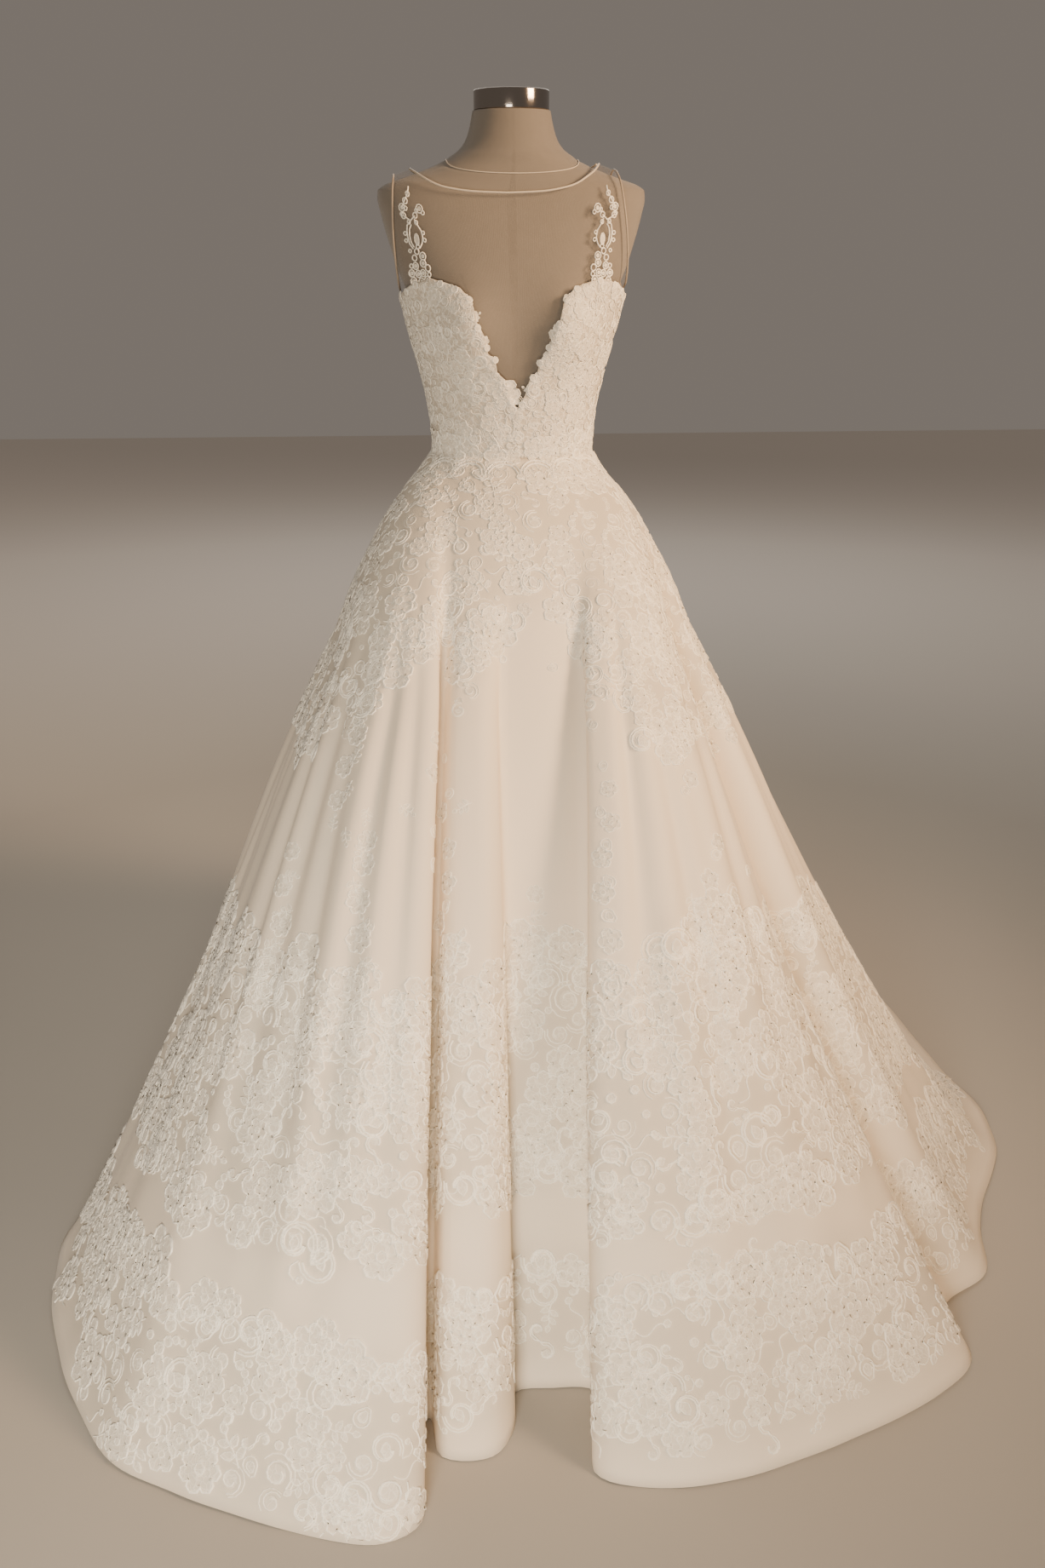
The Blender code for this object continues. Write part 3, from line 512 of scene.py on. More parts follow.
def binding_finish(name, light, dark):
    """Narrow satin binding, wound a little across its length."""
    material, tree, shader = new_finish(name, light, 0.38)
    cut = coordinates(tree, "cut", (1.0, 1.0, 1.0))
    connect(tree, blend_colours(tree, noise(tree, cut, 60.0), light, dark), shader, "Base Color")
    bump(tree, shader, threads(tree, cut, 0.0009, "DIAGONAL"), 0.00008, 0.8)
    connect(tree, spread(tree, noise(tree, cut, 400.0), 0.40, 0.58), shader, "Roughness")
    return material


SATIN = satin_finish()
CORDED_LACE = lace_finish()
BODICE_GROUND = bodice_finish()
SHEER_NET = net_finish()
BINDING = binding_finish("satin_binding", (0.66, 0.57, 0.45), (0.58, 0.49, 0.38))
SHEER_BINDING = binding_finish("sheer_binding", (0.40, 0.325, 0.245), (0.34, 0.275, 0.205))
print("cloth finishes:", [m.name for m in (SATIN, CORDED_LACE, BODICE_GROUND, SHEER_NET, BINDING, SHEER_BINDING)])

# %% [markdown]
# The form has a matt jersey cover over a hard shell, so its pattern is a fine knit with a
# little lint. Its neck band is polished metal, which is mostly a mirror: its look comes from
# what it reflects, with only hair scratches of its own. The stand is powder-coated.

# %% Form, metal and stand


def jersey_finish():
    """The form's cover."""
    material, tree, shader = new_finish("beige_jersey", FORM_BEIGE, 0.85)
    cut = coordinates(tree, "cut", (1.0, 1.0, 1.0))
    lint = noise(tree, cut, 60.0, 4.0)
    connect(tree, blend_colours(tree, lint, (0.190, 0.159, 0.126), (0.216, 0.182, 0.146)),
            shader, "Base Color")
    ribs = threads(tree, cut, 0.0011, "X", 1.2)
    courses = threads(tree, cut, 0.0008, "Y", 1.2)
    bump(tree, shader, arithmetic(tree, "ADD", ribs, courses), 0.00015, 0.6)
    shader.inputs["Sheen Weight"].default_value = 0.25
    shader.inputs["Sheen Roughness"].default_value = 0.6
    return material


def metal_finish():
    """The polished neck band."""
    material, tree, shader = new_finish("dark_chrome", (0.36, 0.32, 0.29), 0.08, metallic=1.0)
    scratches = noise(tree, coordinates(tree, None, (4.0, 4.0, 900.0)), 6.0, 4.0)
    connect(tree, spread(tree, scratches, 0.05, 0.16), shader, "Roughness")
    bump(tree, shader, scratches, 0.00002, 0.4)
    return material


def coated_finish():
    """The stand's powder coat."""
    material, tree, shader = new_finish("powder_coat", (0.035, 0.035, 0.036), 0.45, metallic=0.3)
    grain = noise(tree, coordinates(tree, None, (1.0, 1.0, 1.0)), 900.0, 2.0)
    connect(tree, spread(tree, grain, 0.38, 0.55), shader, "Roughness")
    bump(tree, shader, grain, 0.00008, 0.7)
    return material


JERSEY = jersey_finish()
DARK_CHROME = metal_finish()
POWDER_COAT = coated_finish()
print("form finishes:", JERSEY.name, DARK_CHROME.name, POWDER_COAT.name)

# %% [markdown]
# The skirt's shape is a set of lines from the waist to the hem, one for each fold's ridge or
# recess. Between them a smooth curve fills in, as the cloth does. A cloth simulation would
# give folds too, but not these folds: the photograph decides where each ridge stands, so the
# lines are listed one by one and only the filling-in is left to a formula.

# %% Lines of the skirt
# angle at the waist, the hem's x and y, sag half way, share of a train, and where the hip
# lace ends, the middle band starts and ends and the hem band starts, as shares of the length
FOLDS = [
    ("recess_left", -18, -0.046, -0.640, 0.00, 0.0, 0.165, 0.58, 0.785, 0.875),
    ("small_lobe_inner", -24, -0.052, -0.700, 0.00, 0.0, 0.185, 0.585, 0.765, 0.865),
    ("small_lobe_front", -30, -0.080, -0.742, 0.00, 0.0, 0.240, 0.57, 0.76, 0.865),
    ("small_lobe_left", -42, -0.138, -0.738, 0.00, 0.0, 0.225, 0.56, 0.76, 0.855),
    ("left_recess", -50, -0.152, -0.675, 0.00, 0.0, 0.215, 0.56, 0.775, 0.875),
    ("left_recess_deep", -56, -0.188, -0.705, 0.00, 0.0, 0.205, 0.57, 0.78, 0.875),
    ("left_lobe_ridge", -59, -0.168, -0.830, 0.00, 0.0, 0.205, 0.585, 0.77, 0.875),
    ("left_lobe_front", -63, -0.208, -0.858, 0.00, 0.0, 0.205, 0.585, 0.77, 0.875),
    ("left_lobe_wide", -67, -0.280, -0.846, 0.00, 0.0, 0.215, 0.58, 0.78, 0.865),
    ("left_lobe_mid", -72, -0.364, -0.811, 0.00, 0.0, 0.255, 0.565, 0.78, 0.855),
    ("left_lobe_side", -78, -0.452, -0.768, 0.02, 0.0, 0.305, 0.55, 0.775, 0.845),
    ("left_lobe_corner", -84, -0.540, -0.712, 0.03, 0.0, 0.325, 0.56, 0.77, 0.845),
    ("left_lobe_back", -91, -0.607, -0.600, 0.05, 0.05, 0.335, 0.56, 0.775, 0.855),
    ("left_side_front", -98, -0.668, -0.431, 0.07, 0.1, 0.325, 0.57, 0.795, 0.875),
    ("left_side", -104, -0.680, -0.290, 0.07, 0.1, 0.325, 0.58, 0.795, 0.885),
    ("left_side_recess", -110, -0.632, -0.150, 0.02, 0.05, 0.325, 0.6, 0.795, 0.875),
    ("left_side_back", -116, -0.622, 0.020, 0.02, 0.1, 0.325, 0.6, 0.795, 0.875),
    ("left_back", -124, -0.585, 0.230, 0.03, 0.25, 0.325, 0.6, 0.795, 0.875),
    ("left_back_recess", -132, -0.540, 0.480, 0.05, 0.5, 0.325, 0.6, 0.795, 0.875),
    ("train_left", -142, -0.525, 0.740, 0.05, 0.8, 0.325, 0.6, 0.795, 0.875),
    ("train_left_corner", -154, -0.420, 1.020, 0.05, 1.0, 0.325, 0.6, 0.795, 0.875),
    ("train_back_left", -167, -0.210, 1.200, 0.05, 1.0, 0.325, 0.6, 0.795, 0.875),
    ("train_back", 180, 0.060, 1.250, 0.05, 1.0, 0.325, 0.6, 0.795, 0.875),
    ("train_back_right", 167, 0.330, 1.180, 0.05, 1.0, 0.325, 0.6, 0.795, 0.875),
    ("train_right_corner", 154, 0.540, 0.980, 0.05, 1.0, 0.325, 0.6, 0.795, 0.875),
    ("train_right", 143, 0.660, 0.700, 0.05, 0.8, 0.325, 0.6, 0.795, 0.875),
    ("right_back", 134, 0.720, 0.400, 0.06, 0.7, 0.325, 0.6, 0.795, 0.875),
    ("right_back_lobe", 125, 0.760, 0.100, 0.08, 0.45, 0.325, 0.6, 0.795, 0.875),
    ("right_tip", 118, 0.778, -0.145, 0.08, 0.25, 0.315, 0.61, 0.815, 0.895),
    ("right_side_recess", 111, 0.675, -0.345, 0.06, 0.1, 0.325, 0.6, 0.795, 0.875),
    ("right_side", 106, 0.640, -0.465, 0.07, 0.1, 0.325, 0.58, 0.795, 0.875),
    ("right_recess", 101, 0.556, -0.530, 0.10, 0.1, 0.325, 0.57, 0.785, 0.865),
    ("right_lobe_corner", 95, 0.556, -0.630, 0.13, 0.0, 0.325, 0.55, 0.775, 0.855),
    ("right_lobe_side", 88, 0.494, -0.686, 0.08, 0.0, 0.335, 0.54, 0.78, 0.845),
    ("right_lobe_wide", 80, 0.366, -0.747, 0.02, 0.0, 0.345, 0.52, 0.78, 0.835),
    ("right_lobe_mid", 71, 0.206, -0.799, 0.00, 0.0, 0.305, 0.54, 0.775, 0.84),
    ("right_lobe_front", 64, 0.095, -0.802, 0.00, 0.0, 0.235, 0.59, 0.775, 0.845),
    ("right_lobe_ridge", 60, 0.045, -0.775, 0.00, 0.0, 0.265, 0.59, 0.78, 0.855),
    ("recess_corner", 54, 0.078, -0.668, 0.00, 0.0, 0.205, 0.58, 0.785, 0.875),
    ("recess_right", 47, 0.052, -0.640, 0.00, 0.0, 0.185, 0.57, 0.79, 0.875),
    ("recess_mid", 15, 0.005, -0.636, 0.00, 0.0, 0.155, 0.545, 0.785, 0.875),
]
# Side silhouette: drop from the waist and how far out the line is, both as shares
SIDE_LINE = [
    (0.000, 0.000), (0.012, 0.022), (0.038, 0.075), (0.053, 0.105), (0.087, 0.160),
    (0.125, 0.208), (0.171, 0.262), (0.214, 0.300), (0.310, 0.405), (0.410, 0.505),
    (0.515, 0.598), (0.660, 0.718), (0.770, 0.813), (0.883, 0.904), (1.000, 1.000),
]
TRAIN_LINE = [
    (0.000, 0.000), (0.040, 0.050), (0.100, 0.110), (0.200, 0.180), (0.350, 0.270),
    (0.500, 0.360), (0.650, 0.460), (0.800, 0.580), (0.900, 0.700), (0.960, 0.800),
    (0.985, 0.880), (1.000, 1.000),
]
HEM_STEP = 0.0125
SKIRT_ROWS = 92
FOLDS_START = 0.05
FOLDS_FULL = 0.28
SCALLOP = 0.130
SKIRT_CLOTH = 0.0020
print("skirt:", len(FOLDS), "named lines")


# %% The skirt's surface


def skirt_lines(step):
    """The skirt's lines at an even step along the hem, and where each named line comes."""
    rows = [np.array(row[1:], float) for row in FOLDS]
    count = len(rows)
    lines, firsts = [], {}
    for i in range(count):
        p0, p1, p2, p3 = (rows[(i + k) % count].copy() for k in (-1, 0, 1, 2))
        for p in (p0, p2, p3):
            p[0] += 360.0 * round((p1[0] - p[0]) / 360.0)
        k0, k1, k2 = (max(1e-6, math.hypot(*(b[1:3] - a[1:3])) ** 0.5)
                      for a, b in ((p0, p1), (p1, p2), (p2, p3)))
        m1 = (p2 - p1) - k1 * ((p2 - p0) / (k0 + k1) - (p1 - p0) / k0)
        m2 = (p2 - p1) + k1 * ((p3 - p2) / k2 - (p3 - p1) / (k1 + k2))
        for part in [0, *range(3, len(p1))]:
            m1[part] = m2[part] = p2[part] - p1[part]
        firsts[FOLDS[i][0]] = len(lines)
        steps = max(1, round(k1 ** 2 / step))
        for t in np.arange(steps) / steps:
            a = (2 * t ** 3 - 3 * t ** 2 + 1) * p1 + (t ** 3 - 2 * t ** 2 + t) * m1
            lines.append(a + (-2 * t ** 3 + 3 * t ** 2) * p2 + (t ** 3 - t ** 2) * m2)
    return np.array(lines), firsts


def hem_places(lines):
    """How far round the hem each line ends, and the steps between them."""
    steps = np.linalg.norm(np.roll(lines[:, 1:3], -1, axis=0) - lines[:, 1:3], axis=1)
    return np.concatenate([[0.0], np.cumsum(steps)[:-1]]), steps


def calm_lines(lines, reach):
    """The lines averaged along the hem, which leaves the skirt's body without its folds."""
    places, steps = hem_places(lines)
    whole = steps.sum()
    turns = np.degrees(np.unwrap(np.radians(lines[:, 0])))
    way = math.copysign(360.0, turns[-1] - turns[0])
    calm = lines.copy()
    for k, here in enumerate(places):
        laps = np.round((places - here) / whole)
        weights = np.exp(-(((places - here - laps * whole) / reach) ** 2)) * steps
        rows = lines.copy()
        rows[:, 0] = turns - laps * way
        calm[k] = (rows * weights[:, None]).sum(axis=0) / weights.sum()
    return calm


def line_paths(lines, t):
    """Points down each line, at shares t of the drop from the waist."""
    a = np.radians(lines[:, 0])
    depth = np.where(np.cos(a) > 0, WAIST_FRONT, WAIST_BACK)
    start = np.stack([WAIST_HALF_WIDTH * np.sin(a), -depth * np.cos(a)], axis=1)
    side, train = fine_table(SIDE_LINE, 400), fine_table(TRAIN_LINE, 400)
    share = lines[:, 4:5]
    out = (1 - share) * np.interp(t, *side) + share * np.interp(t, *train)
    out -= lines[:, 3:4] * np.sin(math.pi * t)
    flat = start[:, None] + (lines[:, None, 1:3] - start[:, None]) * out[:, :, None]
    drop = np.broadcast_to(WAIST_Z * (1 - t), out.shape)
    return np.concatenate([flat, drop[:, :, None]], axis=2)


def resampled(paths, levels):
    """Each path at shares of its own length: rows by level, columns by path."""
    made = np.empty((len(levels), len(paths), 3))
    for k, path in enumerate(paths):
        lengths = np.concatenate([[0], np.cumsum(np.linalg.norm(np.diff(path, axis=0), axis=1))])
        for i in range(3):
            made[:, k, i] = np.interp(levels * lengths[-1], lengths, path[:, i])
    return made


def ring_normals(grid):
    """Outward normals of a grid that closes from its last column to its first."""
    across = np.roll(grid, -1, axis=1) - np.roll(grid, 1, axis=1)
    down = np.gradient(grid, axis=0)
    normal = np.cross(across, down)
    normal /= np.maximum(np.linalg.norm(normal, axis=2, keepdims=True), 1e-12)
    outward = grid.copy()
    outward[:, :, 2] = 0
    return normal * np.sign((normal * outward).sum())


LINES, FIRSTS = skirt_lines(HEM_STEP)
PLACES, HEM_STEPS = hem_places(LINES)
HEM_LENGTH = float(HEM_STEPS.sum())
LEVELS = np.linspace(0, 1, SKIRT_ROWS + 1) ** 1.1
print("hem:", round(HEM_LENGTH, 3), "m round,", len(LINES), "lines")

# %% [markdown]
# Satin never hangs as clean as a formula. Small flutes run down from the waist between the
# main folds, and longer creases are placed beside the lines where the photograph shows
# them, with like ones on the hidden sides. Both move the surface along its normal, a few
# millimetres at most, so the solid's form stays.

# %% Flutes and creases
# wave length round the hem, depth, where it starts and where it is fullest down the length
FLUTES = [
    (0.310, 0.0045, 0.10, 0.60),
    (0.173, 0.0034, 0.14, 0.45),
    (0.097, 0.0014, 0.18, 0.70),
]


# the front fold hangs flat: its place round the hem, and how far the calm reaches
FLUTES_CALM = (0.08, 0.24)
# soft troughs: beside which line and how far, half width and depth in metres, and as shares
# down the skirt where it starts, where it is deepest and where it ends
CREASES = [
    ("left_lobe_front", 0.030, 0.030, 0.0060, 0.18, 0.40, 0.80),
    ("left_lobe_wide", 0.045, 0.034, 0.0080, 0.14, 0.42, 0.92),
    ("left_lobe_mid", 0.060, 0.028, 0.0060, 0.24, 0.50, 0.86),
    ("left_lobe_side", 0.050, 0.036, 0.0085, 0.16, 0.45, 0.90),
    ("left_lobe_corner", 0.040, 0.028, 0.0065, 0.20, 0.40, 0.78),
    ("left_side_front", 0.080, 0.036, 0.0065, 0.18, 0.50, 0.95),
    ("left_side_back", 0.090, 0.034, 0.0075, 0.22, 0.46, 0.88),
    ("left_back_recess", 0.100, 0.040, 0.0070, 0.20, 0.55, 0.95),
    ("train_left_corner", 0.120, 0.040, 0.0060, 0.25, 0.50, 0.90),
    ("train_back", -0.080, 0.044, 0.0065, 0.20, 0.50, 0.92),
    ("train_right_corner", 0.090, 0.040, 0.0075, 0.18, 0.44, 0.86),
    ("right_back", 0.090, 0.036, 0.0065, 0.24, 0.52, 0.94),
    ("right_back_lobe", 0.080, 0.034, 0.0070, 0.16, 0.42, 0.84),
    ("right_lobe_corner", 0.060, 0.032, 0.0060, 0.22, 0.48, 0.90),
    ("right_lobe_side", 0.070, 0.036, 0.0075, 0.15, 0.44, 0.86),
    ("right_lobe_wide", 0.100, 0.030, 0.0060, 0.20, 0.50, 0.92),
    ("right_lobe_mid", 0.050, 0.030, 0.0070, 0.14, 0.38, 0.78),
]


def crease_depth(place, level):
    """How far the soft creases sink the cloth; their sides stand up a little."""
    total = np.zeros(np.broadcast(place, level).shape)
    for k, (line, beside, half, depth, start, deepest, end) in enumerate(CREASES):
        middle = PLACES[FIRSTS[line]] + beside + 0.06 * math.sin(2.4 * k) * (level - deepest)
        away = ((place - middle + HEM_LENGTH / 2) % HEM_LENGTH - HEM_LENGTH / 2) / half
        share = smooth((level - start) / (deepest - start)) * (1 - smooth((level - deepest) / (end - deepest)))
        total = total + depth * share * (1 - 0.8 * away ** 2) * np.exp(-0.8 * away ** 2)
    return total


def flute_height(place, level):
    """How far the small flutes lift the cloth, at a place round the hem and a share down."""
    total = np.zeros(np.broadcast(place, level).shape)
    away = (place - FLUTES_CALM[0] + HEM_LENGTH / 2) % HEM_LENGTH - HEM_LENGTH / 2
    calm = 1 - np.exp(-((away / FLUTES_CALM[1]) ** 2))
    for k, (length, depth, start, full) in enumerate(FLUTES):
        turns = round(HEM_LENGTH / length)
        angle = 2 * math.pi * turns * place / HEM_LENGTH
        drift = 1.9 * np.sin(3.0 * level + 1.7 * k) + 0.8 * np.sin(2 * math.pi * place / HEM_LENGTH * 5 + k)
        swell = 0.55 + 0.45 * np.sin(2 * math.pi * place / HEM_LENGTH * (3 + 2 * k) + 2.1 * k)
        grow = smooth((level - start) / (full - start)) * (1 - 0.5 * smooth((level - full) / (1 - full)))
        total = total + depth * calm * grow * swell * np.sin(angle + drift)
    return total


def skirt_points(levels, lift=0.0):
    """The skirt's outer surface: rows by level, columns by line."""
    t = np.linspace(0, 1, 241)
    share = smooth((t - FOLDS_START) / (FOLDS_FULL - FOLDS_START))[None, :, None]
    paths = line_paths(calm_lines(LINES, 0.16), t) * (1 - share) + line_paths(LINES, t) * share
    grid = resampled(paths, levels)
    normal = ring_normals(grid)
    place, level = PLACES[None, :], levels[:, None]
    out = SKIRT_CLOTH + lift + flute_height(place, level) - crease_depth(place, level)
    grid = grid + normal * out[:, :, None]
    grid[:, :, 2] = np.maximum(grid[:, :, 2], 0.0)
    return grid, normal


SKIRT, SKIRT_NORMAL = skirt_points(LEVELS)
print("skirt surface:", SKIRT.shape[:2], "lowest", round(float(SKIRT[:, :, 2].min()), 4))

# %% [markdown]
# Where lace lies is a map on the unrolled skirt: across it the place round the hem, down it
# the share of the length. The tiers come from the folds' table and their scallops from a wave.

# %% Lace zones


def zone_levels(places):
    """The tiers' edges at places round the hem: hip, band top, band low, hem top."""
    around = np.concatenate([PLACES, [HEM_LENGTH]])
    columns = np.concatenate([LINES[:, 5:9], LINES[:1, 5:9]])
    hip, top, low, hem = (np.interp(places % HEM_LENGTH, around, columns[:, k]) for k in range(4))
    wave = np.abs(np.sin(math.pi * places / SCALLOP))
    slow = np.sin(2 * math.pi * places / (3.4 * SCALLOP))
    ragged = np.sin(2 * math.pi * places / 0.083 + 2.0 * slow)
    hip = hip + 0.020 * wave + 0.012 * slow + 0.010 * ragged
    top = top - 0.018 * wave - 0.020 * ragged
    return hip, top, low + 0.014 * wave, hem - 0.014 * wave - 0.008 * slow


def zone_cover(places, levels):
    """Each tier's lace at places and levels, as 1 or 0."""
    hip, top, low, hem = zone_levels(places)
    on_hip = levels < hip
    on_band = (levels > top) & (levels < low)
    left = (places > PLACES[FIRSTS["left_lobe_ridge"]]) & (places < PLACES[FIRSTS["left_lobe_back"]])
    on_hem = (levels > hem) & (levels < np.where(left, 0.992, 0.972))
    return [zone.astype(float) for zone in (on_hip, on_band, on_hem)]


COVER = zone_cover(*np.meshgrid(PLACES, LEVELS))
print("share of the skirt under lace:", [round(float(zone.mean()), 3) for zone in COVER])

# %% The satin skirt


def softened(field, times):
    """A field on the skirt's grid with its edges blurred."""
    for _ in range(times):
        around = np.roll(field, 1, axis=1) + np.roll(field, -1, axis=1)
        above = np.vstack([field[:1], field[:-1]])
        below = np.vstack([field[1:], field[-1:]])
        field = (field * 2 + around + above + below) / 6
    return field


def build_skirt():
    """One sheet of satin all round, open at the waist and the hem."""
    rows, columns = SKIRT.shape[:2]
    points = SKIRT.reshape(-1, 3)
    faces = grid_faces(rows, columns, closed=True)
    across = np.linalg.norm(np.roll(SKIRT, -1, axis=1) - SKIRT, axis=2)
    u = np.cumsum(across, axis=1) - across
    u -= u.mean(axis=1, keepdims=True)
    down = np.linalg.norm(np.diff(SKIRT, axis=0), axis=2)
    v = -np.vstack([np.zeros(columns), np.cumsum(down, axis=0)])
    piece = mesh_piece("satin_skirt", points, faces, SATIN, np.stack([u, v], axis=2))
    # the lace zones' map, which the satin reads for painted shade and for less gloss
    net_veil_and_shade = piece.data.attributes.new("lace", "FLOAT", "POINT")
    net_veil_and_shade.data.foreach_set("value", softened(sum(COVER), 3).ravel())
    area = cloth_area(piece)
    thicken(piece, 0.0011)
    return piece, area


skirt, skirt_area = build_skirt()
print("skirt area:", round(skirt_area, 2), "m2")

# %% [markdown]
# The dress form stands inside. Only its chest, shoulders and neck show, through the yoke, but
# it is built whole. It is a stack of rings from the sections above, with shallow grooves
# where the cover's pieces are sewn together: the neck seam, the sides and the centre back.

# %% The dress form
NECK_SEAM_FRONT = 1.4600
NECK_SEAM_SIDE = 1.4790
SEAM_DEPTH = 0.0009
SEAM_WIDTH = 0.0016


def groove(distance):
    """The depth of a sewn groove at a distance from its middle."""
    return -SEAM_DEPTH * np.exp(-((distance / SEAM_WIDTH) ** 2))


def neck_seam_height(degrees):
    """The neck seam dips at the front and at the back."""
    return NECK_SEAM_FRONT + (NECK_SEAM_SIDE - NECK_SEAM_FRONT) * np.sin(np.radians(degrees)) ** 2


def build_form():
    """The form's cover, closed at its top and bottom."""
    sides = 180
    heights = np.concatenate([np.linspace(TORSO_BOTTOM, 1.40, 110), np.linspace(1.403, NECK_TOP, 70)])
    degrees = np.arange(sides) * 360.0 / sides
    angle, z = np.meshgrid(degrees, heights)
    inset = FORM_INSET * (1 - smooth((z - 1.470) / 0.015)) * smooth((z - TORSO_BOTTOM) / 0.050)
    seam_z = neck_seam_height(angle)
    out = groove(z - seam_z)
    below = 1 - smooth((z - seam_z) / 0.006)
    surface = torso_points(angle, z)
    for seam in (90.0, 180.0, 270.0):
        away = np.linalg.norm(surface - torso_points(seam, z), axis=2)
        out = np.minimum(out, groove(away) * below)
    grid = off_torso(angle, z, out - inset)
    points = [*grid.reshape(-1, 3), grid[0].mean(axis=0), grid[-1].mean(axis=0)]
    faces = grid_faces(len(heights), sides, closed=True)
    for row, middle in ((0, len(points) - 2), (len(heights) - 1, len(points) - 1)):
        faces += [(middle, row * sides + c, row * sides + (c + 1) % sides) for c in range(sides)]
    uv = np.concatenate([np.stack([np.radians(angle) * 0.12, z], axis=2).reshape(-1, 2),
                         [(0.0, 0.0), (0.0, 0.0)]])
    piece = mesh_piece("form_cover", points, faces, JERSEY, uv)
    face_out(piece)
    return dress(piece, "form", "form_torso")


form = build_form()
print("form:", len(form.data.polygons), "faces")

# %% [markdown]
# Round metal pieces are turned: a profile of radius and height spun about the pole. The
# profile has its small radii drawn in, because a sharp edge would not catch a line of light.

# %% Neck band and stand


def turned(name, profile, sides, material):
    """A round closed piece from pairs of radius and height."""
    a = np.arange(sides) * 2 * math.pi / sides
    rings = [np.stack([r * np.cos(a), r * np.sin(a), np.full(sides, z)], axis=1) for r, z in profile]
    points = [*np.concatenate(rings), (0, 0, profile[0][1]), (0, 0, profile[-1][1])]
    faces = grid_faces(len(profile), sides, closed=True)
    for row, middle in ((0, len(points) - 2), (len(profile) - 1, len(points) - 1)):
        faces += [(middle, row * sides + c, row * sides + (c + 1) % sides) for c in range(sides)]
    piece = mesh_piece(name, points, faces, material)
    face_out(piece)
    return piece


def rounded(radius, low, high, edge, steps=5):
    """A cylinder's profile with rounded edges."""
    bends = [math.pi / 2 * k / steps for k in range(steps + 1)]
    profile = [(radius - edge + edge * math.sin(b), low + edge - edge * math.cos(b)) for b in bends]
    return profile + [(radius - edge + edge * math.cos(b), high - edge + edge * math.sin(b))
                      for b in bends]


neck_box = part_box("neck_cap")
base_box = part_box("stand_base")
pole_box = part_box("stand_pole")
cap = turned("neck_band", rounded(CAP_RADIUS, neck_box[0][2], neck_box[1][2], 0.0016), 96, DARK_CHROME)
base = turned("base_plate", rounded(base_box[1][0], base_box[0][2], base_box[1][2], 0.003), 96,
              POWDER_COAT)
pole = turned("pole", rounded(pole_box[1][0], pole_box[0][2], pole_box[1][2], 0.001), 48, POWDER_COAT)
dress(cap, "metal", "neck_cap")
dress(base, "stand", "stand_base")
dress(pole, "stand", "stand_pole")
print("neck band:", neck_box[0][2], "to", neck_box[1][2], "m")
for piece in (cap, base, pole):
    sharp = piece.modifiers.new("edges", "BEVEL")
    sharp.width = 0.0002
    sharp.limit_method = "ANGLE"

# %% [markdown]
# The bodice is four pieces that meet at the sides, the centre front and the centre back. Its
# front edge is a deep V whose outline follows the lace's flowers, so it is given as a short
# table of points. Above it lies a yoke of sheer net, cut out at the neck and the armholes.

# %% Sizes of the bodice and the yoke
# distance from the centre line, height
V_EDGE = [
    (0.000, 1.166),
    (0.010, 1.184),
    (0.016, 1.205),
    (0.026, 1.214),
    (0.030, 1.232),
    (0.040, 1.240),
    (0.046, 1.262),
    (0.055, 1.278),
    (0.060, 1.302),
    (0.073, 1.318),
    (0.090, 1.325),
    (0.108, 1.331),
]
UNDERARM_Z = 1.309
# angle from the front, height
BACK_EDGE = [
    (90.0, 1.309),
    (100.0, 1.303),
    (110.0, 1.293),
    (120.0, 1.281),
    (130.0, 1.268),
    (140.0, 1.253),
    (150.0, 1.239),
    (160.0, 1.226),
    (170.0, 1.216),
    (180.0, 1.212),
]
# share of the way across to the strap, share of the rise to the shoulder
NECKLINE = [
    (0.00, 0.00),
    (0.34, 0.05),
    (0.64, 0.24),
    (0.85, 0.58),
    (1.00, 1.00),
]
NECK_FRONT_Z = 1.432
NECK_BACK_Z = 1.440
STRAP_IN = 0.1260
STRAP_OUT = 0.1445
ARM_EDGE_ANGLE = 84.0
BINDING_RADIUS = 0.0013
BODICE_LACE = 0.0012
SEAM_HALF = 0.00003
BODICE_FOOT = 1.0974
print("neckline depth:", round(UNDERARM_Z - V_EDGE[0][1], 3), "m")

# %% The bodice's ground


def bodice_edge(back):
    """The top edge of half a bodice as angles and heights, in order from one seam."""
    if back:
        return np.array(BACK_EDGE)
    edge = [(angle_at(x, z), z) for x, z in V_EDGE]
    last = edge[-1]
    for share in (1 / 3, 2 / 3, 1.0):
        edge.append((last[0] + (90 - last[0]) * share,
                     last[1] + (UNDERARM_Z - last[1]) * float(smooth(share))))
    return np.array(edge)


def finer(edge, count):
    """The edge at even steps of its own numbering."""
    at = np.linspace(0, len(edge) - 1, count)
    return np.stack([np.interp(at, np.arange(len(edge)), edge[:, k]) for k in (0, 1)], axis=1)


def lace_rise(share):
    """How much thicker the lace is near the top edge."""
    return BODICE_LACE * smooth((share - 0.72) / 0.12)


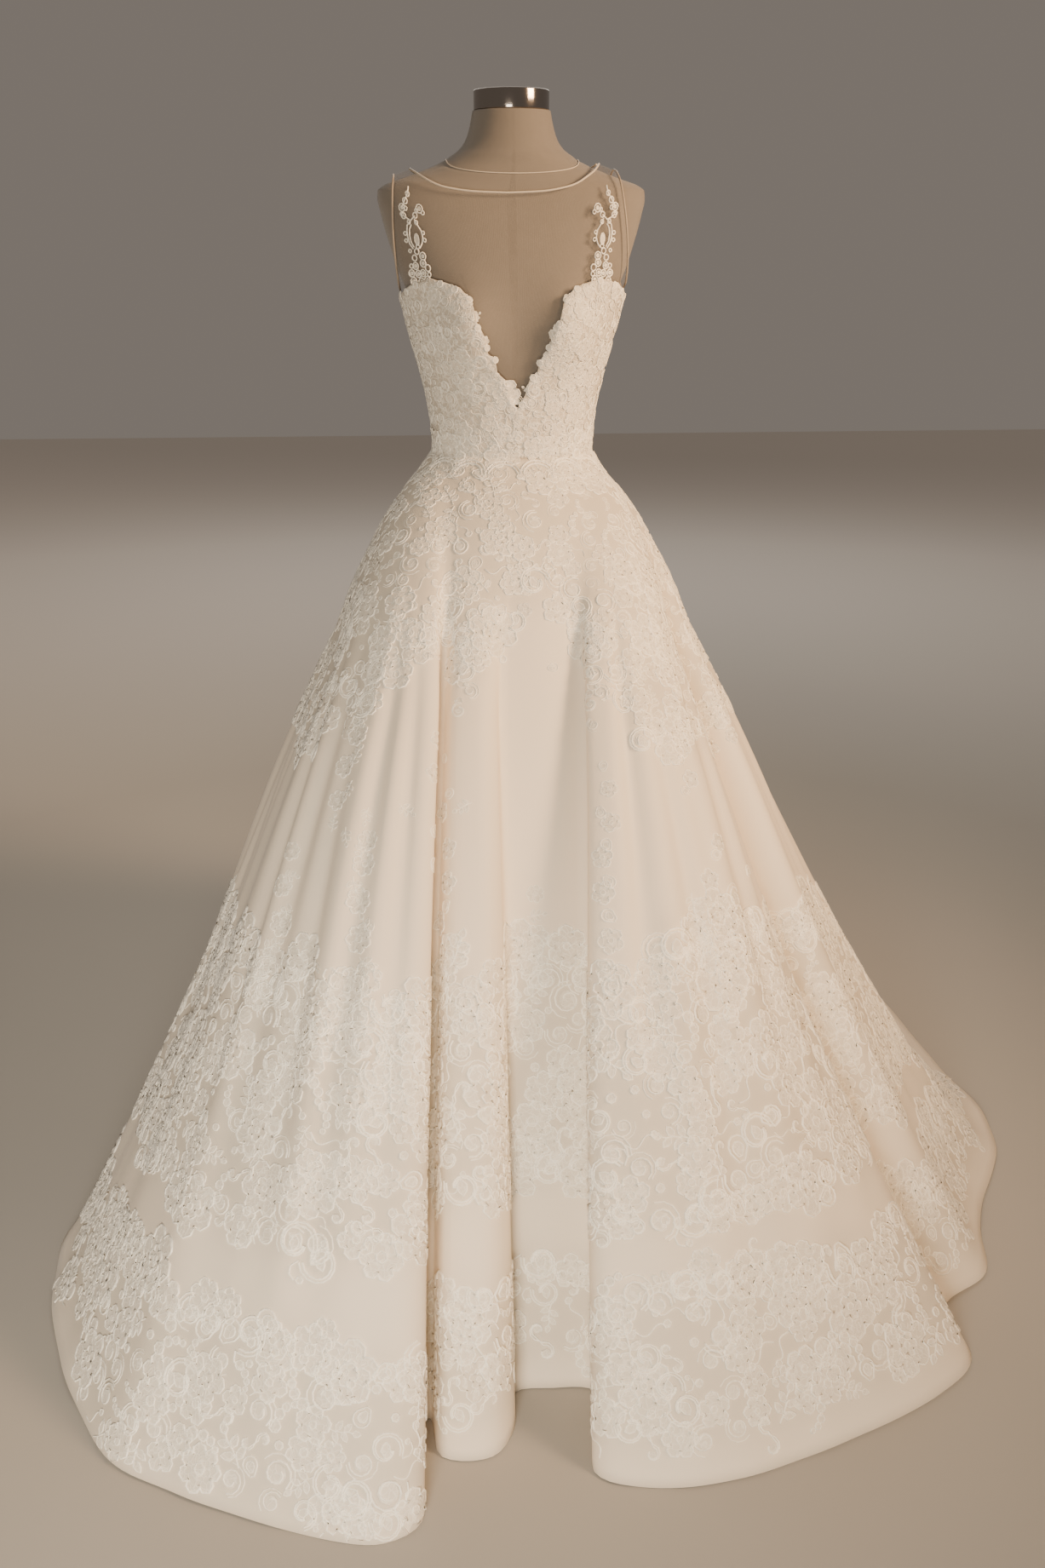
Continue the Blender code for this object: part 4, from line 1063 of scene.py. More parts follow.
def build_bodice(name, side, back):
    """A quarter of the bodice, from its side seam to the centre."""
    edge = finer(bodice_edge(back), 57)
    rows, columns = 46, len(edge)
    share = np.linspace(0, 1, rows)[:, None]
    across = np.linspace(0, 1, columns)[None, :]
    low = 90.0 + 90.0 * across if back else 90.0 * across ** 1.15
    angle = low + (edge[None, :, 0] - low) * share
    turn = np.degrees(SEAM_HALF / WAIST_FRONT)
    angle = angle + turn * (across == 0) - turn * (across == 1)
    z = BODICE_FOOT + (edge[None, :, 1] - BODICE_FOOT) * share
    out = BODICE_CLEAR + BODICE_WALL + lace_rise(share) * np.ones_like(across)
    grid = off_torso(side * angle, z, out)
    faces = grid_faces(rows, columns)
    if side > 0:
        faces = [face[::-1] for face in faces]
    step = np.linalg.norm(np.diff(grid, axis=1), axis=2)
    u = np.hstack([np.zeros((rows, 1)), np.cumsum(step, axis=1)])
    u -= u.mean(axis=1, keepdims=True)
    piece = mesh_piece(name, grid, faces, BODICE_GROUND, np.stack([u, z * np.ones_like(u)], axis=2))
    area = cloth_area(piece)
    thicken(piece, 0.0016)
    return piece, area


BODICE = {}
for label, side, back in (("front_left", -1, False), ("front_right", 1, False),
                          ("back_left", -1, True), ("back_right", 1, True)):
    BODICE[label] = build_bodice("bodice_" + label + "_cloth", side, back)
    dress(BODICE[label][0], "lace", "bodice_" + label)
print("bodice areas:", {k: round(v[1], 4) for k, v in BODICE.items()})

# %% The yoke's outline


def shoulder_z(x):
    """The height at which the torso's half width has come down to x."""
    low, high = 1.436, 1.50
    for _ in range(30):
        middle = (low + high) / 2
        if np.interp(middle, SECTIONS_FINE[0], SECTIONS_FINE[1]) > abs(x):
            low = middle
        else:
            high = middle
    return (low + high) / 2


def neck_point(across, back):
    """A point of the neckline: x and height, at a share of the way to the strap."""
    x = across * STRAP_IN + GARMENT_SHIFT
    end = shoulder_z(math.copysign(STRAP_IN, across) + GARMENT_SHIFT) - 0.0003
    middle = NECK_BACK_Z if back else NECK_FRONT_Z
    return x, middle + (end - middle) * through(NECKLINE, abs(across), 1)


def climb(low, top, bow, steps, outermost):
    """Places from a point of the bodice's edge up to the neckline or the shoulder."""
    made = []
    for r in range(steps + 1):
        share = 1 - (1 - r / steps) ** (1.0 + 1.2 * min(1.0, outermost / 0.75) ** 4)
        x = low[0] + (top[0] - low[0]) * share + bow * math.sin(math.pi * share)
        made.append((x, low[1] + (top[1] - low[1]) * share))
    return made


def arm_edge(side, back, outward, steps):
    """The yoke's armhole edge, from the underarm to the shoulder, as x and height."""
    z = UNDERARM_Z + 0.0034
    angle = 180 - ARM_EDGE_ANGLE if back else ARM_EDGE_ANGLE
    low = (abs(float(torso_points(angle, z)[0])) * side, z)
    x = side * STRAP_OUT + GARMENT_SHIFT
    top = (x, shoulder_z(x) - 0.0003)
    return [(px + side * outward, pz) for px, pz in climb(low, top, side * 0.004, steps, 1.0)]


print("shoulder height:", round(shoulder_z(STRAP_OUT), 4), "m")

# %% The sheer yoke


def build_yoke(name, sides, back):
    """A sheer piece from the lace bodice up to the neckline and the shoulder."""
    edge = finer(bodice_edge(back), 43)
    last = len(edge) - 1
    strap_start = last - 6
    columns = []
    for side in sides:
        half = []
        for k, (angle, z) in enumerate(edge):
            k = last - k if back else k
            angle = (min(max(angle, 180 - ARM_EDGE_ANGLE), 179.85) if back
                     else min(max(angle, 0.0), ARM_EDGE_ANGLE))
            low_z = z + 0.0030
            low = (side * abs(float(torso_points(angle, low_z)[0])), low_z)
            if k <= strap_start:
                across = side * (1 - (1 - k / strap_start) ** 1.4)
                x, top_z = neck_point(across if across else side * 1e-9, back)
                top = (x + (0.0 if k else side * 0.00015 * back), top_z)
            else:
                share = (k - strap_start) / (last - strap_start)
                x = side * (STRAP_IN + (STRAP_OUT - STRAP_IN) * share) + GARMENT_SHIFT
                top = (x, shoulder_z(x) - 0.0003)
            half.append((k, climb(low, top, side * 0.004 * (k / last) ** 3, 30, k / last)))
        half.sort(key=lambda pair: pair[0] * side)
        columns += [c for k, c in half if not (columns and k == 0)]
    angles = np.array([[angle_at(x, z, back) for x, z in column] for column in columns]).T
    heights = np.array([[z for _, z in column] for column in columns]).T
    grid = off_torso(angles, heights, NET_CLEAR + NET * 0.6)
    rows, count = angles.shape
    faces = grid_faces(rows, count)
    step = np.linalg.norm(np.diff(grid, axis=1), axis=2)
    u = np.hstack([np.zeros((rows, 1)), np.cumsum(step, axis=1)])
    u -= u.mean(axis=1, keepdims=True)
    piece = mesh_piece(name, grid, faces, SHEER_NET, np.stack([u, heights], axis=2))
    return piece, cloth_area(piece)


YOKE = {}
for label, sides, back in (("front", (-1, 1), False), ("back_left", (-1,), True),
                           ("back_right", (1,), True)):
    YOKE[label] = build_yoke("net_yoke_" + label, sides, back)
    dress(YOKE[label][0], "net", "yoke_" + label)
print("yoke areas:", {k: round(v[1], 4) for k, v in YOKE.items()})

# %% [markdown]
# The yoke's edges are bound with narrow satin, a strip folded round the edge and stitched. A
# closed round tube does this. It follows the yoke's own edge, so its
# path is worked out by the same functions.

# %% Bindings


def tube(name, path, away, radius, sides, material):
    """A closed cord along a path; away gives each point's outward way."""
    path, away = np.asarray(path), np.asarray(away)
    along = np.gradient(path, axis=0)
    along /= np.maximum(np.linalg.norm(along, axis=1, keepdims=True), 1e-9)
    out = away - along * (away * along).sum(axis=1, keepdims=True)
    out /= np.linalg.norm(out, axis=1, keepdims=True)
    side = np.cross(along, out)
    a = np.arange(sides) * 2 * math.pi / sides
    rings = (path[:, None] + side[:, None] * radius * np.cos(a)[None, :, None]
             + out[:, None] * radius * np.sin(a)[None, :, None])
    count = len(path)
    points = [*rings.reshape(-1, 3), path[0], path[-1]]
    faces = grid_faces(count, sides, closed=True)
    for row, middle in ((0, count * sides), (count - 1, count * sides + 1)):
        faces += [(middle, row * sides + c, row * sides + (c + 1) % sides) for c in range(sides)]
    lengths = np.concatenate([[0], np.cumsum(np.linalg.norm(np.diff(path, axis=0), axis=1))])
    uv = np.stack(np.broadcast_arrays(a[None, :] * radius, lengths[:, None]), axis=2).reshape(-1, 2)
    piece = mesh_piece(name, points, faces, material, np.concatenate([uv, [(0, 0), (0, 0)]]))
    face_out(piece)
    return piece


def bind(name, places, node, material=BINDING):
    """A binding along places on the torso, given as angles and heights."""
    degrees = np.array([a for a, _ in places])
    z = np.array([z for _, z in places])
    out = NET_CLEAR + NET
    path = off_torso(degrees, z, out)
    away = off_torso(degrees, z, out + 0.01) - path
    return dress(tube(name, path, away, BINDING_RADIUS, 10, material), "binding", node)


def neck_places(start, end, back, steps=44):
    """The neckline between two shares of the way across."""
    made = []
    for share in np.linspace(start, end, steps):
        x, z = neck_point(float(share), back)
        z += BINDING_RADIUS + 0.0003
        made.append((angle_at(x, z, back), z))
    return made


def arm_places(side):
    """The armhole's edge, up the front and down the back."""
    out = BINDING_RADIUS + 0.0003
    front = [(angle_at(x, z), z) for x, z in arm_edge(side, False, out, 24)]
    rear = [(angle_at(x, z, True), z) for x, z in arm_edge(side, True, out, 24)]
    x = side * (STRAP_OUT + out) + GARMENT_SHIFT
    places = front[:-1] + [(90.0 * side, shoulder_z(x))] + rear[:-1][::-1]
    return [(a, z + (0.0012 if k in (0, len(places) - 1) else 0.0)) for k, (a, z) in enumerate(places)]


bind("neck_edge_front", neck_places(-0.985, 0.985, False), "neck_binding_front")
bind("neck_edge_back_left", neck_places(-0.985, -0.004, True), "neck_binding_back_left")
bind("neck_edge_back_right", neck_places(0.004, 0.985, True), "neck_binding_back_right")
for label, side in (("left", -1), ("right", 1)):
    bind("armhole_edge_" + label, arm_places(side), "armhole_binding_" + label, SHEER_BINDING)
print("bindings: 5")


def sew_neck_seam():
    """A fine cord in the form's neck seam."""
    degrees = np.linspace(180, 540, 121)
    heights = neck_seam_height(degrees)
    inset = FORM_INSET * (1 - smooth((heights - 1.470) / 0.015))
    path = off_torso(degrees, heights, 0.0002 - inset)
    away = off_torso(degrees, heights, 0.01 - inset) - path
    return dress(tube("neck_seam_cord", path, away, 0.0007, 8, BINDING), "form")


sew_neck_seam()

# %% [markdown]
# Corded lace is a net with motifs worked on it: petals filled with close threads, and a cord
# laid round them. A motif here is flat, drawn from arcs and spirals in millimetres. A cord is
# a low ridge of two faces across, and a petal a shallow dome, so a motif keeps few faces and
# can be laid down more than a thousand times.

# %% Drawing a motif
MM = 0.001
CORD_WIDTH = 2.4 * MM
CORD_HEIGHT = 2.1 * MM
PAD_EDGE = 0.45 * MM
PAD_CROWN = 1.1 * MM


class Motif:
    """Points and faces of one flat motif, with its cords marked."""

    def __init__(self):
        self.points, self.faces, self.cord, self.thread = [], [], [], []

    def add(self, points, faces, cord, thread):
        """Adds points with heights, faces, and the pattern's place on them."""
        start = len(self.points)
        self.points += [tuple(p) for p in points]
        self.faces += [tuple(start + k for k in face) for face in faces]
        self.cord += [cord] * len(points)
        self.thread += [tuple(p) for p in thread]

    def lay_cord(self, path, width=CORD_WIDTH, closed=False):
        """A cord along a path, as a ridge with its feet on the ground."""
        path = np.asarray(path, float) * MM
        if closed:
            along = np.roll(path, -1, axis=0) - np.roll(path, 1, axis=0)
        else:
            along = np.gradient(path, axis=0)
        along /= np.maximum(np.linalg.norm(along, axis=1, keepdims=True), 1e-9)
        side = np.stack([-along[:, 1], along[:, 0]], axis=1) * width / 2
        count = len(path)
        height = CORD_HEIGHT * width / CORD_WIDTH
        rows = [np.column_stack([path + side, np.zeros(count)]),
                np.column_stack([path, np.full(count, height)]),
                np.column_stack([path - side, np.zeros(count)])]
        faces = []
        for k in range(count if closed else count - 1):
            n = (k + 1) % count
            faces += [(k, count + k, count + n, n), (count + k, 2 * count + k, 2 * count + n, count + n)]
        length = np.arange(count) * 0.002
        thread = [(x, y) for y in (0.0, 0.0008, 0.0016) for x in length]
        self.add(np.concatenate(rows), faces, 1.0, thread)

    def lay_pad(self, outline, middle=None, crown=PAD_CROWN):
        """A filled petal inside an outline."""
        outline = np.asarray(outline, float) * MM
        centre = outline.mean(axis=0) if middle is None else np.asarray(middle, float) * MM
        count = len(outline)
        points = np.column_stack([outline, np.full(count, PAD_EDGE)])
        points = np.vstack([points, [*centre, crown]])
        faces = [(k, (k + 1) % count, count) for k in range(count)]
        self.add(points, faces, 0.0, points[:, :2])

    def ring(self, x, y, radius, sides=7, width=CORD_WIDTH * 0.85, filled=True):
        """A small round with its cord."""
        circle = arc(x, y, radius, 0, 360, sides)[:-1]
        self.lay_cord(circle, width, closed=True)
        if filled:
            self.lay_pad(circle)


def arc(x, y, radius, start, end, steps):
    """Points of an arc about x and y, with angles in degrees."""
    a = np.radians(np.linspace(start, end, steps + 1))
    return np.stack([x + radius * np.cos(a), y + radius * np.sin(a)], axis=1)


def spiral(x, y, radius, inner, start, turns, steps):
    """Points of a spiral that winds in about x and y."""
    share = np.linspace(0, 1, steps + 1)
    a = np.radians(start) + 2 * math.pi * turns * share
    r = radius + (inner - radius) * share
    return np.stack([x + r * np.cos(a), y + r * np.sin(a)], axis=1)


print("cord:", CORD_WIDTH, "wide and", CORD_HEIGHT, "high")

# %% [markdown]
# The motifs are the ordinary ones of bridal lace: open flowers with five or six petals,
# scrolls, a spray of leaves, a bud, a chain of rounds and a tendril. They are put in one
# collection in the order of their names, so a number can pick one.

# %% The motifs


def petal(turn, reach, radius, steps=4, sweep=112):
    """A round petal's outer arc, reach away from the flower's middle."""
    a = math.radians(turn)
    return arc(reach * math.cos(a), reach * math.sin(a), radius, turn - sweep, turn + sweep, steps)


def flower(petals, reach, radius, heart):
    """A flower: its petals, a cord round them all and a heart."""
    motif = Motif()
    outline = []
    for k in range(petals):
        edge = petal(360 * k / petals, reach, radius)
        motif.lay_pad(np.vstack([edge, [(0, 0)]]))
        outline.append(edge)
    motif.lay_cord(np.concatenate(outline), closed=True)
    motif.ring(0, 0, heart, 6)
    return motif


def double_scroll():
    """Two cords side by side in an S with curled ends."""
    motif = Motif()
    for shift in (0.0, 3.6):
        upper = spiral(0, 13, 12 - shift, 4.5, -90, -0.85, 8)
        lower = spiral(0, -13, 12 - shift, 4.5, 90, -0.85, 8)
        motif.lay_cord(np.vstack([upper[::-1], lower[1:]]), CORD_WIDTH * 0.8)
    motif.lay_pad(arc(0, 15, 5.5, 0, 360, 6)[:-1])
    motif.lay_pad(arc(0, -15, 5.5, 0, 360, 6)[:-1])
    return motif


def curl():
    """A hooked scroll round a filled petal."""
    motif = Motif()
    motif.lay_cord(spiral(0, 0, 17, 5.5, -130, 1.25, 14))
    motif.lay_pad(arc(0, 0, 10.5, 0, 360, 8)[:-1])
    motif.lay_cord(arc(0, 0, 20.5, -120, 60, 6), CORD_WIDTH * 0.7)
    return motif


def leaf_outline(x, y, turn, length, width):
    """A pointed leaf from its foot, turned in degrees."""
    shape = np.array([(0, 0), (0.35, 0.5), (0.72, 0.38), (1, 0), (0.72, -0.38), (0.35, -0.5)])
    shape = shape * (length, width)
    a = math.radians(turn)
    spin = np.array([[math.cos(a), math.sin(a)], [-math.sin(a), math.cos(a)]])
    return shape @ spin + (x, y)


def spray():
    """A stem with leaves on both sides."""
    motif = Motif()
    motif.lay_cord([(0, -20), (1.5, -10), (1.0, 0), (-1.0, 9), (0, 18)], CORD_WIDTH * 0.8)
    for x, y, turn, length in ((1, -12, 28, 17), (1, -9, 152, 17), (0.5, 0, 38, 15),
                               (0, 3, 142, 15), (0, 14, 90, 13)):
        outline = leaf_outline(x, y, turn, length, 8.5)
        motif.lay_pad(outline)
        motif.lay_cord(outline, CORD_WIDTH * 0.7, closed=True)
    return motif


def bud():
    """A drop with a smaller drop inside."""
    motif = Motif()
    for size, fill in ((1.0, False), (0.56, True)):
        round_part = arc(0, -4 * size, 11.5 * size, -200, 20, 7)
        outline = np.vstack([round_part, [(3.5 * size, 12 * size), (-3.5 * size, 12 * size)]])
        motif.lay_cord(outline, CORD_WIDTH * (1.0 if size == 1.0 else 0.75), closed=True)
        if fill:
            motif.lay_pad(outline)
    return motif


def chain():
    """Four rounds that grow smaller along a bow."""
    motif = Motif()
    for x, y, radius in ((-15, -3, 7.2), (-2, 3, 6.2), (9, 3, 5.0), (18, -1.5, 3.9)):
        motif.ring(x, y, radius, 7)
    return motif


def tendril():
    """A wavy cord that ends in a round."""
    motif = Motif()
    x = np.linspace(-22, 14, 12)
    motif.lay_cord(np.stack([x, 6.0 * np.sin(x / 6.2)], axis=1), CORD_WIDTH * 0.85)
    motif.ring(18.5, 4.5, 4.8, 6)
    return motif


def small_round():
    """A filler round."""
    motif = Motif()
    motif.ring(0, 0, 5.2, 7)
    return motif


def comma():
    """A short bent filler cord."""
    motif = Motif()
    motif.lay_cord(arc(0, 0, 7.0, -60, 100, 5), CORD_WIDTH * 0.9)
    return motif


def rose():
    """A large open flower: six wide petals, five inner ones and short dashes between."""
    motif = Motif()
    outer = [petal(60 * k, 22, 13.0, 4, 100) for k in range(6)]
    for edge in outer:
        motif.lay_pad(np.vstack([edge, [(0, 0)]]))
    motif.lay_cord(np.concatenate(outer), closed=True)
    motif.lay_cord(np.concatenate([petal(72 * k + 20, 9, 6.4, 3, 110) for k in range(5)]), closed=True)
    for k in range(12):
        a = math.radians(30 * k + 15)
        dash = [(r * math.cos(a), r * math.sin(a)) for r in (18.0, 24.0)]
        motif.lay_cord(dash, CORD_WIDTH * 0.7)
    motif.ring(0, 0, 4.2, 6)
    return motif


def medallion():
    """A wide scroll of two cords that winds round a filled drop."""
    motif = Motif()
    for shift in (0.0, 4.2):
        motif.lay_cord(spiral(0, 0, 24 - shift, 10 - shift / 2, -60, 1.05, 15))
    motif.lay_pad(leaf_outline(-6, -7, 50, 19, 12))
    motif.lay_cord(leaf_outline(-6, -7, 50, 19, 12), CORD_WIDTH * 0.8, closed=True)
    motif.lay_cord([(10, -22), (19, -27), (27, -24), (30, -16)], CORD_WIDTH * 0.9)
    motif.ring(27, -11, 3.8, 6)
    return motif


def arch():
    """Two bowed cords over a gap, with a round at each foot, for a scalloped border."""
    motif = Motif()
    for wide, tall in ((27, 25), (22, 19)):
        bow = arc(0, 0, 1.0, 0, 180, 12) * (wide, tall)
        motif.lay_cord(bow, CORD_WIDTH * 1.1)
    for side in (-1, 1):
        motif.ring(side * 24.5, -4.5, 4.4, 7)
        motif.lay_pad(leaf_outline(side * 3, 6, 90 - side * 38, 9, 5))
    return motif


def climber(side):
    """The lace of one strap: small rounds, an open loop and two branches at the top."""
    motif = Motif()
    rounds = [(17, 11, 4.3), (10, 17, 4.8), (11, 26, 5.0), (2, 32, 3.7), (-3, 24, 3.8), (-11, 5, 4.6),
              (0, 4, 4.6), (-3, 14, 4.5), (8, 5, 4.5), (-9, -5, 5.0), (4, -6, 5.0), (14, -4, 5.0),
              (5, 77, 3.6), (12, 85, 5.4), (-14, 77, 3.7), (-17, 87, 4.9), (-12, 95, 3.8),
              (-8, 103, 3.1), (18, 80, 2.6), (-11, 86, 2.6), (-13, 46, 2.3), (-13, 55, 2.4),
              (18, 46, 2.3), (17, 55, 2.2), (-5, 69, 2.6), (7, 68, 2.6), (5, 38, 2.8), (-10, 14, 2.8),
              (18, 3, 2.8), (7, 83, 2.4), (-17, 79, 2.4), (-9, 33, 2.2)]
    rounds = [(x + 0.2 * max(0, y - 65), y, radius) for x, y, radius in rounds]
    for x, y, radius in rounds:
        motif.ring(side * x, y, radius, 9, CORD_WIDTH * 0.72, filled=False)
        if radius > 4.4:
            motif.ring(side * x, y, radius * 0.45, 6, CORD_WIDTH * 0.6)
    loops = [[(-3, 35), (-8, 42), (-9.5, 50), (-9.5, 58), (-8, 65), (-3, 70)],
             [(8, 36), (13, 42), (15.5, 49), (14, 58), (9, 65), (4, 72)],
             [(-1, 37), (-5, 44), (-6, 52), (-5, 60), (-1, 66)],
             [(-14, 77), (-7, 73), (-2, 71), (5, 77)],
             [(-17, 87), (-13, 95), (-8, 103), (-7, 108), (-6.5, 112)]]
    loops = [[(x + 0.2 * max(0, y - 65), y) for x, y in path] for path in loops]
    for path in loops:
        motif.lay_cord(np.array(path) * (side, 1), CORD_WIDTH * 0.8)
    oval = arc(0, 0, 1.0, 0, 360, 9)[:-1] * (3.6, 7.5) + (side * 5, 47)
    motif.lay_pad(oval)
    motif.lay_cord(oval, CORD_WIDTH * 0.7, closed=True)
    return motif


def keep_motifs(name, motifs):
    """A collection of motif objects that nothing renders by itself."""
    collection = bpy.data.collections.new(name)
    for k, motif in enumerate(motifs):
        title = f"{name}_{k:02d}"
        mesh = bpy.data.meshes.new(title)
        mesh.from_pydata(motif.points, [], motif.faces)
        layer = mesh.uv_layers.new(name="thread")
        corners = np.empty(len(mesh.loops), dtype=np.int32)
        mesh.loops.foreach_get("vertex_index", corners)
        layer.data.foreach_set("uv", np.array(motif.thread)[corners].ravel())
        mesh.attributes.new("cord", "FLOAT", "POINT").data.foreach_set("value", motif.cord)
        mesh.polygons.foreach_set("use_smooth", [True] * len(mesh.polygons))
        collection.objects.link(bpy.data.objects.new(title, mesh))
    print(name, [len(motif.faces) for motif in motifs], "faces")
    return collection


KINDS = ["flower", "open_flower", "scroll", "curl", "spray", "bud", "chain", "tendril",
         "rose", "medallion", "curl_again", "full_flower", "round", "comma", "arch",
         "left_climber", "right_climber"]
MOTIFS = keep_motifs("motif", [
    flower(6, 14, 9.0, 4.6), flower(5, 13, 10.0, 5.0), double_scroll(), curl(), spray(), bud(),
    chain(), tendril(), rose(), medallion(), curl(), flower(7, 16, 8.0, 6.0), small_round(),
    comma(), arch(), climber(1), climber(-1)])
SCATTERED = KINDS.index("round")

# %% [markdown]
# Laying the motifs is what Geometry Nodes are for. The tree scatters points over the ground
# where a map says lace lies, puts a motif on each, and then fits every point of it to the
# cloth: the motif is drawn on the unrolled ground, and each of its points is looked up there
# and lifted to the place of that spot on the folded cloth. So lace bends with the folds and
# never floats. Scattering by a smallest distance, not at random, keeps the motifs apart.

# %% Node tree helpers


def new_tree(name, inputs):
    """A geometry node tree with named inputs and one geometry output."""
    tree = bpy.data.node_groups.new(name, "GeometryNodeTree")
    for title, kind in inputs:
        tree.interface.new_socket(title, in_out="INPUT", socket_type="NodeSocket" + kind)
    tree.interface.new_socket("Result", in_out="OUTPUT", socket_type="NodeSocketGeometry")
    source = tree.nodes.new("NodeGroupInput")
    result = tree.nodes.new("NodeGroupOutput")
    return tree, source.outputs, result.inputs[0]


def named(tree, name, kind):
    """The values of a named attribute."""
    node = add_node(tree, "GeometryNodeInputNamedAttribute", {"Name": name}, data_type=kind)
    return node.outputs["Attribute"]


def keep(tree, geometry, name, kind, value):
    """Stores a named attribute on a geometry's points."""
    node = add_node(tree, "GeometryNodeStoreNamedAttribute", {"Geometry": geometry, "Name": name},
                    data_type=kind, domain="POINT")
    tree.links.new(value, node.inputs["Value"])
    return node.outputs["Geometry"]


def random_number(tree, low, high, seed, kind="FLOAT"):
    """A random number for each point; low, high and seed are sockets or numbers."""
    node = add_node(tree, "FunctionNodeRandomValue", data_type=kind)
    sockets = [s for s in node.inputs if s.enabled]
    by_name = {s.name: s for s in sockets}
    for name, value in (("Min", low), ("Max", high), ("Seed", seed)):
        if isinstance(value, bpy.types.NodeSocket):
            tree.links.new(value, by_name[name])
        else:
            by_name[name].default_value = value
    return next(s for s in node.outputs if s.enabled)


def vector_math(tree, operation, first, second):
    """One step of vector arithmetic."""
    node = add_node(tree, "ShaderNodeVectorMath", operation=operation)
    tree.links.new(first, node.inputs[0])
    if operation == "SCALE":
        tree.links.new(second, node.inputs["Scale"])
    else:
        tree.links.new(second, node.inputs[1])
    return node.outputs[0]


def sampled(tree, mesh, value, at):
    """A value of the ground looked up at a place of its unrolled map."""
    node = add_node(tree, "GeometryNodeSampleUVSurface", data_type="FLOAT_VECTOR")
    tree.links.new(mesh, node.inputs[0])
    tree.links.new(value, next(s for s in node.inputs[1:] if s.enabled and s.name == "Value"))
    tree.links.new(named(tree, "unroll", "FLOAT_VECTOR"), next(s for s in node.inputs if "UV Map" in s.name))
    tree.links.new(at, next(s for s in node.inputs if "Sample UV" in s.name))
    return next(s for s in node.outputs if s.enabled and s.name == "Value"), node.outputs["Is Valid"]


print("node tree helpers ready")

# %% The tree that lays lace


